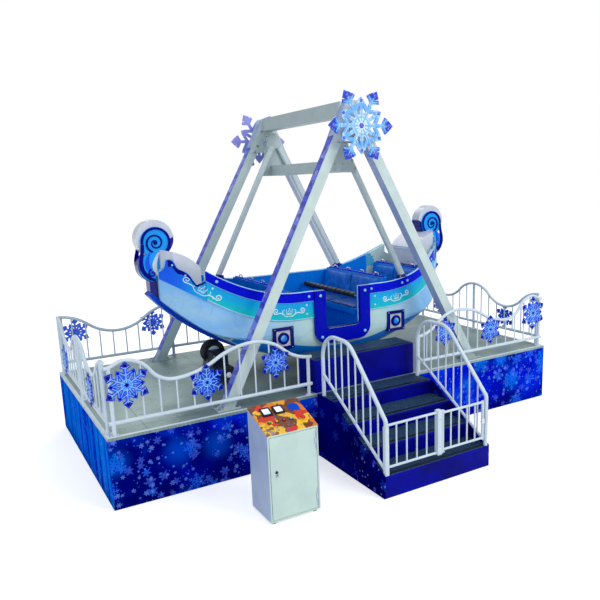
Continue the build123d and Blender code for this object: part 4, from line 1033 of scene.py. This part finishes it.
for end, end_name in ((-1, "left"), (1, "right")):
    for (front, seat, half), row_name in zip(BENCHES, ("inner", "outer")):
        back = front + BENCH_DEPTH
        wide = (2 * half - 0.19) / 2
        slope = BACK_LEAN / BACK_HEIGHT
        low, high = seat + 0.06, seat + BACK_HEIGHT - 0.03
        near, far = (end * (back + (z - seat) * slope) for z in (low, high))
        for k, (y0, y1) in enumerate(((-half + 0.08, -half + 0.08 + wide),
                                      (half - 0.08 - wide, half - 0.08))):
            flat = [(end * (front + 0.03), y0, seat), (end * (front + 0.03), y1, seat),
                    (end * (back - 0.02), y1, seat), (end * (back - 0.02), y0, seat)]
            if end > 0:
                flat.reverse()
            leaning = [(near, y0, low), (near, y1, low), (far, y1, high), (far, y0, high)]
            label = f"{end_name}_{row_name}_{k}"
            rounded_pad("seat_pad_" + label, flat, 0.03, (0, 0, 1), 0.006, navy_vinyl)
            rounded_pad("back_pad_" + label, leaning, 0.026, (-end, 0, slope), 0.006, blue_vinyl)
        bar_x = end * (front + BENCH_DEPTH - 0.03 - 0.29)
        bar_z = seat + 0.17
        reach = half + 0.026 - 0.07
        sleeve = Piece()
        rings = [(0.0345, 0.0), (0.0375, 0.004), (0.0385, 0.03)]
        count = 12
        for i in range(1, count):
            middle = 2 * reach * i / count
            rings += [(0.0385, middle - 0.004), (0.0362, middle), (0.0385, middle + 0.004)]
        rings += [(0.0385, 2 * reach - 0.03), (0.0375, 2 * reach - 0.004), (0.0345, 2 * reach)]
        sleeve.lathe((bar_x, -reach, bar_z), (0, 1, 0), rings, black_vinyl, 20)
        pad = sleeve.done(f"bar_pad_{end_name}_{row_name}", f"bar_{end_name}_{row_name}")
        grips = Piece()
        for y in (-half - 0.026, half + 0.026):
            pivot = Vector((end * (back - 0.03), y, seat + 0.06))
            hand = 1 if y > 0 else -1
            grips.bolt(pivot + Vector((0, hand * 0.0165, 0)), (0, hand, 0), 0.011, bolt_steel)
        grips.done(f"bar_bolts_{end_name}_{row_name}", f"bar_{end_name}_{row_name}")

seat_trim = Piece()
for end in (-1, 1):
    for front, seat, half in BENCHES:
        top = seat + BACK_HEIGHT
        x = end * (front + BENCH_DEPTH + BACK_LEAN + 0.035)
        seat_trim.tube([(x, y, top + 0.002) for y in spread(-half + 0.03, half - 0.03, 12)], 0.016,
                       deep_blue, 10)
        for y in spread(-half + 0.2, half - 0.2, 4 if half > 0.6 else 3):
            grip = [(-0.05, 0.01), (-0.05, 0.03), (-0.03, 0.045), (0.03, 0.045), (0.05, 0.03), (0.05, 0.01)]
            seat_trim.tube([(x, y + dy, top + dz) for dy, dz in grip], 0.008, plated, 8)
seat_trim.done("seat_trim", "boat")

# Boat: hanger hardware, keel fixings and door sill
hangers = Piece()
for side in (-1, 1):
    y = side * (HANGER_Y + ROD_HALF + PLATE_THICK)
    for a in range(6):
        c, s = cos(a * pi / 3), sin(a * pi / 3)
        hangers.bolt((0.073 * c, y, PIVOT + 0.073 * s), (0, side, 0), 0.006, bolt_steel)
    for end in (-1, 1):
        for x, z in ((0.19, -0.36), (0.23, -0.45), (0.1, -0.2), (0.055, -0.4), (0.055, -0.46)):
            hangers.bolt((end * x, y, PIVOT + z), (0, side, 0), 0.011, bolt_steel)
        x = end * 0.96
        for dx in (-0.048, 0.048):
            hangers.bolt((x + dx, side * (HANGER_Y + 0.03), sheer(x) + 0.02), (0, side, 0), 0.009, bolt_steel)
hangers.done("hanger_bolts", "boat")

sill = Piece()
sill.block((-DOOR_HALF + 0.002, -HALF_BEAM - TRIM_PROUD + 0.006, DOOR_SILL - 0.0005),
           (DOOR_HALF - 0.002, -HALF_BEAM + 0.04, DOOR_SILL + 0.003),
           plated, edge=0.004)
for i in range(9):
    x = -0.2 + 0.05 * i
    sill.block((x - 0.015, -HALF_BEAM - 0.03, DOOR_SILL + 0.002),
               (x + 0.015, -HALF_BEAM + 0.025, DOOR_SILL + 0.0055), black_plastic, edge=0.003)
sill.done("door_sill", "boat")

keel = Piece()
for i in range(-21, 22):
    a = radians(i * 2.1)
    out = Vector((sin(a), 0, -cos(a)))
    base = Vector((0, 0, PIVOT)) + out * 2.87
    for y in (-0.088, 0.088):
        keel.dome(base + Vector((0, y, 0)) - out * 0.001, out, 0.009, 0.004, bolt_steel, 8)
keel.done("keel_rivets", "boat")

bow_fittings = Piece()
for end in (-1, 1):
    for side in (-1, 1):
        bow_fittings.tube([(end * 1.603, side * y, z) for y,
                           z in ((0.27, 2.02), (0.27, 2.13), (0.2, 2.165), (0.0, 2.17))],
                          0.008, pale_line, 8)
        for y, z in ((0.24, 1.99), (0.12, 1.99), (0.24, 2.1)):
            bow_fittings.bolt((end * 1.6, side * y, z), (-end, 0, 0), 0.008, bolt_steel)
bow_fittings.done("bow_fittings", "boat")

# A-frames: lamp strips, foot bolts and ribs, and bolts on the head plates
strips = Piece()
frame_bolts = Piece()
for end in (-1, 1):
    for side in (-1, 1):
        foot = Vector((end * FOOT.x, side * FOOT.y, FOOT.z))
        apex = Vector((0, side * APEX.y, APEX.z))
        way = (apex - foot).normalized()
        face = Vector((0, side * (APEX.z - FOOT.z), (FOOT.y - APEX.y))).normalized()
        out = way.cross(face).normalized()
        if out.x * end < 0:
            out = -out
        length = (apex - foot).length
        place = Matrix((
            (way.x, face.x, out.x, foot.x), (way.y, face.y, out.y, foot.y), (way.z, face.z, out.z,
                                                                             foot.z), (0, 0, 0, 1)))
        low, high = 0.12, length - 0.42
        strips.block((low, -0.061, 0.0598), (high, 0.061, 0.0628), leg_finish_with_shade, place)
        strips.block((low + 0.01, -0.057, 0.0626), (high - 0.01, 0.057, 0.067), strip_finish, place)
        for i in range(1, 30):
            spot = low + (high - low) * i / 30
            strips.block((spot - 0.004, -0.058, 0.0626), (spot + 0.004, 0.058, 0.0682), strip_finish, place)
        for dx in (-0.105, 0.105):
            for dy in (-0.06, 0.06):
                frame_bolts.bolt((foot.x + dx, foot.y + dy, DECK + 0.015), (0, 0, 1), 0.013, bolt_steel)
        for hand in (-1, 1):
            rib = [(foot.x + hand * 0.062 + 0.01 * end, foot.y, DECK + 0.015),
                   (foot.x + hand * 0.118, foot.y, DECK + 0.015),
                   (foot.x + hand * 0.062 - end * 0.03, foot.y, DECK + 0.085)]
            frame_bolts.prism([Vector(p) - Vector((0, 0.005, 0)) for p in rib], (0, 0.01, 0), leg_finish_with_shade)
for side in (-1, 1):
    lean = atan2(FOOT.y - APEX.y, APEX.z - DECK)

    def plate_y(z, off):
        return FOOT.y - (z - DECK) * tan(lean) + off / cos(lean)

    normal = Vector((0, side * cos(lean), sin(lean)))
    for x, z in ((-0.16, 3.68), (0.16, 3.68), (-0.09, 3.88), (0.09, 3.88), (-0.2, 3.6), (0.2, 3.6),
                 (0, 3.96), (0, 3.64)):
        frame_bolts.bolt((x, side * plate_y(z, 0.079), z), normal, 0.012, bolt_steel)
        if abs(z - PIVOT) > 0.09 or abs(x) > 0.1:
            frame_bolts.bolt((x, side * plate_y(z, -0.079), z), -normal, 0.012, bolt_steel)
    bearing = plate_y(PIVOT, -0.079) - 0.06
    for a in range(6):
        c, s = cos(a * pi / 3 + 0.3), sin(a * pi / 3 + 0.3)
        frame_bolts.bolt((0.071 * c, side * bearing, PIVOT + 0.071 * s), (0, -side, 0), 0.007, bolt_steel)
strips.done("lamp_strips", "platform")
frame_bolts.done("frame_bolts", "platform")


# Snowflakes: raised veins, dots and bosses
def flake_detail(piece, centre, radius, arm, first, turn, finish_line, finish_dot):
    """Raised lines along the arms of one snowflake. Turn maps its own plane to the fence's."""
    def at(r, a):
        return Vector(centre) + turn @ Vector((r * cos(a), 0, r * sin(a)))

    width = radius * 0.22 * arm
    front = turn @ Vector((0, -1, 0))
    for i in range(6):
        a = first + i * pi / 3
        piece.tube([at(radius * 0.1, a), at(radius * 0.82, a)], [width, width * 0.6], finish_line, 5)
        for r, length in ((0.4, 0.27), (0.68, 0.2)):
            root = at(radius * r, a)
            for hand in (-1, 1):
                b = a + hand * pi / 3
                tip = Vector(centre) + turn @ Vector((
                    radius * (r * cos(a) + length * cos(b)), 0, radius * (r * sin(a) + length * sin(b))))
                piece.tube([root, tip], [width * 0.8, width * 0.5], finish_line, 5)
        piece.dome(at(radius * (1 - sqrt(2) * arm), a), front, radius * 0.55 * arm, radius * 0.03,
                   finish_dot, 10)
        b = a + pi / 6
        piece.tube([at(radius * 0.12, b), at(radius * 0.54, b)], [width * 0.7, width * 0.4], finish_line, 5)
        piece.dome(at(radius * 0.62, b), front, radius * 0.4 * arm, radius * 0.025, finish_dot, 8)
    ring = [at(radius * 0.22, 2 * pi * k / 24) for k in range(24)]
    piece.tube(ring, width * 0.7, finish_line, 5, closed=True)
    piece.dome(at(0, 0), front, radius * 0.07, radius * 0.035, finish_dot, 12)


veins = Piece()
FLAKE_TURN = pi / 6
for side in (-1, 1):
    for x, rise, radius in FRONT_FLAKES:
        centre = (side * x, -FENCE_Y - FENCE_TUBE - .01, DECK + rise)
        flake_detail(veins, centre, radius, SMALL_ARM, FLAKE_TURN, Matrix.Identity(3), stud_light, line_blue)
    for x in BACK_FLAKES:
        centre = (side * x, FENCE_Y + FENCE_TUBE + .0075, DECK + BACK_FLAKE_RISE)
        flake_detail(veins, centre, SMALL_FLAKE, SMALL_ARM, FLAKE_TURN, Matrix.Rotation(pi, 3, "Z"),
                     stud_light, line_blue)
    for y in END_FLAKES:
        centre = (side * (FENCE_X + FENCE_TUBE + .0095), y, DECK + END_FLAKE_RISE)
        turn = Matrix.Rotation(side * pi / 2, 3, "Z")
        flake_detail(veins, centre, SMALL_FLAKE, SMALL_ARM, FLAKE_TURN, turn, stud_light, line_blue)
veins.done("small_flake_veins", "platform")

big_veins = Piece()
for y, turn in ((big_low.y, 0), (big_high.y, pi)):
    flake_detail(big_veins, (0, y, PIVOT), LARGE_FLAKE, LARGE_ARM, 0, Matrix.Rotation(turn, 3, "Z"),
                 stud_light, violet_dot)
big_veins.done("large_flake_veins", "platform")

# Platform: edge angles, fence fixings and stair fittings
edging = Piece()
EDGE_WIDE, EDGE_THICK = 0.035, 0.003
for x0, x1, y0, y1 in (
        (-HALF_LENGTH, -STAIR_HALF, -HALF_WIDTH, -HALF_WIDTH + EDGE_WIDE),
        (STAIR_HALF, HALF_LENGTH, -HALF_WIDTH, -HALF_WIDTH + EDGE_WIDE),
        (-HALF_LENGTH, HALF_LENGTH, HALF_WIDTH - EDGE_WIDE, HALF_WIDTH),
        (-HALF_LENGTH, -HALF_LENGTH + EDGE_WIDE, -HALF_WIDTH + 0.036, HALF_WIDTH - 0.036),
        (HALF_LENGTH - EDGE_WIDE, HALF_LENGTH, -HALF_WIDTH + 0.036, HALF_WIDTH - 0.036)):
    edging.block((x0, y0, DECK), (x1, y1, DECK + EDGE_THICK), white_paint, edge=0.004)
edging.done("deck_edging", "platform")

STEPS = [(STAIR_FRONT + i * STEP_RUN, FIRST_RISE + i * STEP_RISE) for i in range(4)]
fixings = Piece()
for x in spread(-2.95, 2.95, 20):
    for y in (-1.15, -0.6, 0.0, 0.6, 1.15):
        if abs(x) > 0.75 or y > -1:
            fixings.dome((x, y, DECK), (0, 0, 1), 0.009, 0.003, bolt_steel, 8)
for posts, y in (((-2.968, -0.794, 0.794, 2.968), -FENCE_Y), ((-2.968, -1.505, 0, 1.505, 2.968), FENCE_Y)):
    for x in posts:
        for dx, dy in ((-0.024, -0.024), (0.024, -0.024), (-0.024, 0.024), (0.024, 0.024)):
            fixings.dome((x + dx, y + dy, DECK + 0.01), (0, 0, 1), 0.006, 0.005, bolt_steel, 6)
for x in (-STAIR_HALF + 0.09, STAIR_HALF - 0.09):
    for front, z in STEPS:
        fixings.dome((x, front + 0.16, z), (0, 0, 1), 0.008, 0.003, bolt_steel, 8)
fixings.done("deck_fixings", "platform")

nosings = Piece()
NOSING_INSET = 0.03
for front, z in STEPS + [(BOARDING_FRONT, BOARDING_TOP)]:
    for k in range(3):
        y = front + NOSING_INSET + 0.014 * k
        nosings.block((-STAIR_HALF + NOSING_INSET, y, z), (STAIR_HALF - NOSING_INSET, y + 0.008, z + 0.0025),
                      black_plastic, edge=0.002)
nosings.done("tread_nosings", "platform")

gate_fittings = Piece()
for x, half, low, high, edge in ((0, 0.0295, 0.79, 0.799, 0.006), (0, 0.0295, 0.311, 0.316, 0.006),
                                 (-RAIL_X, 0.0235, 0.2502, 0.765, 0.004)):
    gate_fittings.block((x - half, GATE_Y - half, low), (x + half, GATE_Y + half, high), white_paint, edge=edge)
for z in (0.4, 0.7):
    gate_fittings.dome((0, GATE_Y - 0.028, z), (0, -1, 0), 0.008, 0.0018, bolt_steel, 8)
gate_fittings.done("gate_post_caps", "platform")

latch = Piece()
latch.block((0.59, GATE_Y - 0.024, 0.52), (0.635, GATE_Y - 0.012, 0.58), plated, edge=0.004)
latch.tube([(x, GATE_Y - 0.0235, 0.55) for x in (0.60, 0.57)], 0.005, plated, 8)
latch.done("gate_latch", "gate")

# Drive: hub bolts, motor fins, terminal box and stand bolts
wheel = Piece()
for side in (-1, 1):
    face = [(HUB_RADIUS - 0.012, 0), (HUB_RADIUS - 0.016, 0.003), (0.045, 0.003), (0.04, 0.001)]
    wheel.lathe((TYRE.x, side * 0.0548, TYRE.z), (0, side, 0), face, white_paint, 28)
    for a in range(5):
        c, s = cos(a * 2 * pi / 5), sin(a * 2 * pi / 5)
        wheel.bolt((TYRE.x + 0.054 * c, side * 0.0562, TYRE.z + 0.054 * s), (0, side, 0), 0.003, bolt_steel)
wheel.done("wheel_face", "drive_wheel")

motor = Piece()
r = MOTOR_RADIUS
for i in range(9):
    y = MOTOR_BACK - 0.03 - 0.02 * i
    motor.lathe((TYRE.x, y, MOTOR_Z), (0, -1, 0),
                [(r - 0.005, 0), (r + 0.008, 0.001), (r + 0.008, 0.006), (r - 0.005, 0.007)],
                motor_paint, 28)
cover = [(r + 0.004, 0), (r + 0.004, 0.046), (r - 0.012, 0.052), (0.05, 0.054)]
motor.lathe((TYRE.x, MOTOR_FRONT + 0.05, MOTOR_Z), (0, -1, 0), cover, black_plastic, 28)
motor.dome((TYRE.x, MOTOR_FRONT - 0.0035, MOTOR_Z), (0, -1, 0), 0.034, 0.012, white_paint, 20)
for a in range(12):
    spoke = Matrix.Rotation(2 * pi * a / 12, 4, "Y")
    place = Matrix.Translation((TYRE.x, MOTOR_FRONT - 0.003, MOTOR_Z)) @ spoke
    motor.block((0.045, -0.003, -0.004), (0.09, 0.001, 0.004), motor_paint, place)
motor.block((TYRE.x - 0.16, -0.44, 0.87), (TYRE.x - 0.1, -0.34, 0.94), motor_paint, edge=0.006)
for dx in (-0.08, 0.08):
    for z in (0.79, 1.09):
        motor.bolt((TYRE.x + dx, MOTOR_BACK, z), (0, -1, 0), 0.007, bolt_steel)
for dx in (-0.12, 0.12):
    for y in (-0.09, 0.09):
        motor.block((TYRE.x + dx - 0.02, y - 0.024, DECK), (TYRE.x + dx + 0.02, y + 0.024, DECK + 0.008),
                    steel_paint, edge=0.004)
motor.lathe((TYRE.x, 0.072, TYRE.z), (0, 1, 0),
            [(0.034, 0), (0.034, 0.008), (0.026, 0.014), (0.012, 0.015)], bolt_steel, 18)
motor.done("motor_fittings", "platform")

# Control cabinet: framed displays, buttons, lock and door handle
rise = PANEL_BACK - PANEL_FRONT
run = CABINET_BACK - CABINET_FACE
tilt = atan2(rise, run)
panel_place = Matrix.Translation((CABINET_X[0], CABINET_FACE, PANEL_FRONT)) @ Matrix.Rotation(tilt, 4, "X")
deep = sqrt(rise ** 2 + run ** 2)
desk = Piece()
wide = CABINET_X[1] - CABINET_X[0]
desk.block((0.006, 0.006, 0.0), (wide - 0.006, deep - 0.006, 0.0018), panel_finish, panel_place, edge=0.008)
for left in (0.085, 0.215):
    desk.block((left, 0.26, 0.0015), (left + 0.105, 0.385, 0.012), black_plastic, panel_place, edge=0.008)
    desk.block((left + 0.018, 0.282, 0.011), (left + 0.087, 0.363, 0.0135), screen_finish, panel_place,
               edge=0.005)
desk.block((0.375, 0.265, 0.0015), (0.485, 0.37, 0.005), keel_blue, panel_place, edge=0.02)
for i, finish in enumerate((green_plastic, yellow_plastic, red_plastic, stud_light)):
    spot = panel_place @ Vector((0.1 + 0.075 * i, 0.16, 0.0018))
    up = panel_place.to_3x3() @ Vector((0, 0, 1))
    desk.lathe(spot, up, [(0.019, 0), (0.019, 0.005), (0.015, 0.006)], black_plastic, 18)
    desk.dome(spot + up * 0.006, up, 0.0135, 0.009, finish, 16)
spot = panel_place @ Vector((0.43, 0.12, 0.0018))
desk.lathe(spot, up, [(0.034, 0), (0.034, 0.006), (0.02, 0.008), (0.016, 0.02)], yellow_plastic, 20)
desk.dome(spot + up * 0.02, up, 0.026, 0.016, red_plastic, 20)
for i in range(5):
    spot = panel_place @ Vector((0.08 + 0.06 * i, 0.075, 0.0018))
    desk.lathe(spot, up, [(0.009, 0), (0.009, 0.004), (0.003, 0.005), (0.003, 0.018), (0.004, 0.02)],
               bolt_steel, 10)
for x in (0.02, wide - 0.02):
    for y in (0.02, deep - 0.02):
        desk.dome(panel_place @ Vector((x, y, 0.0018)), up, 0.006, 0.003, bolt_steel, 8)
desk.done("panel_fittings", "platform")

lock = Piece()
lock.lathe((-1.8, CABINET_FACE, 0.52), (0, -1, 0), [(0.014, 0), (0.014, 0.004), (0.009, 0.006)],
           black_plastic, 18)
lock.lathe((-1.795, CABINET_FACE, 0.488), (0, -1, 0), [(0.012, 0), (0.012, 0.006), (0.009, 0.016)],
           bolt_steel, 18)
lock.block((-1.797, CABINET_FACE - 0.019, 0.474), (-1.793, CABINET_FACE - 0.014, 0.502), bolt_steel)
lock.done("door_lock", "cabinet_door")


# Stage: a pale floor, a white surround and soft light
FLOOR_LIFT = 0.55


def floor_finish():
    """A floor that shows white to the camera and to reflections, and still darkens under the object."""
    s = Shader("studio_floor")
    shade = s.mix(s.ramp(s.noise(0.4, 2.0), 0.3, 0.7), srgb(226, 228, 230), srgb(232, 233, 235))
    s.feed(s.surface.inputs["Base Color"], shade)
    s.surface.inputs["Roughness"].default_value = 0.9
    s.surface.inputs["Specular IOR Level"].default_value = 0.1
    path = s.add("ShaderNodeLightPath")
    seen = s.any(path.outputs["Is Camera Ray"], path.outputs["Is Glossy Ray"],
                 path.outputs["Is Transmission Ray"])
    s.feed(s.surface.inputs["Emission Color"], (1.0, 1.0, 1.0))
    s.feed(s.surface.inputs["Emission Strength"], s.mul(seen, FLOOR_LIFT))
    return s.material


bpy.ops.mesh.primitive_plane_add(size=160, location=(0, 0, 0))
floor = bpy.context.object
floor.name = "studio_floor"
floor.data.materials.append(floor_finish())

world = bpy.data.worlds.new("studio")
bpy.context.scene.world = world
world.use_nodes = True
tree = world.node_tree
tree.nodes.clear()
out, shown, lit, pick, path, either = (tree.nodes.new("ShaderNode" + kind) for kind in (
    "OutputWorld", "Background", "Background", "MixShader", "LightPath", "Math"))
shown.inputs["Color"].default_value = (1, 1, 1, 1)
shown.inputs["Strength"].default_value = 1.0
lit.inputs["Color"].default_value = (0.93, 0.97, 1.0, 1)
lit.inputs["Strength"].default_value = 0.62
either.operation = "MAXIMUM"
for source, target in (
        (path.outputs["Is Camera Ray"], either.inputs[0]),
        (path.outputs["Is Transmission Ray"], either.inputs[1]),
        (either.outputs[0], pick.inputs[0]),
        (lit.outputs[0], pick.inputs[1]),
        (shown.outputs[0], pick.inputs[2]),
        (pick.outputs[0], out.inputs[0])):
    tree.links.new(source, target)


def soft_light(name, place, size, power, colour):
    data = bpy.data.lights.new(name, "AREA")
    data.shape = "SQUARE"
    data.size = size
    data.energy = power
    data.color = colour
    lamp = bpy.data.objects.new(name, data)
    lamp.location = place
    lamp.rotation_mode = "QUATERNION"
    lamp.rotation_quaternion = (Vector((0, 0, 1.4)) - Vector(place)).to_track_quat("-Z", "Y")
    bpy.context.scene.collection.objects.link(lamp)


soft_light("key", (3.0, -9.0, 8.0), 5.0, 520, (1.0, 0.99, 0.97))
soft_light("fill", (-9.0, -5.0, 5.0), 6.0, 170, (0.92, 0.96, 1.0))
soft_light("back", (2.0, 9.0, 8.0), 6.0, 260, (0.97, 0.99, 1.0))

# Camera, fitted to the photograph
YAW, PITCH, ROLL = radians(31.45), radians(-11.68), radians(-1.53)
forward = Vector((sin(YAW) * cos(PITCH), cos(YAW) * cos(PITCH), sin(PITCH)))
level = Vector((cos(YAW), -sin(YAW), 0))
upward = level.cross(forward)
right = cos(ROLL) * level + sin(ROLL) * upward
camera_up = -sin(ROLL) * level + cos(ROLL) * upward
camera = bpy.data.objects.new("camera", bpy.data.cameras.new("camera"))
camera.matrix_world = Matrix((
    (right.x, camera_up.x, -forward.x, -4.187),
    (right.y, camera_up.y, -forward.y, -7.766),
    (right.z, camera_up.z, -forward.z, 3.140),
    (0, 0, 0, 1)))
camera.data.sensor_width = 36
camera.data.lens = 36 * 655.0 / 600
camera.data.shift_x = -0.0745
camera.data.shift_y = 0.030
camera.data.clip_end = 400
bpy.context.scene.collection.objects.link(camera)
bpy.context.scene.camera = camera
bpy.context.scene.view_settings.view_transform = "Standard"
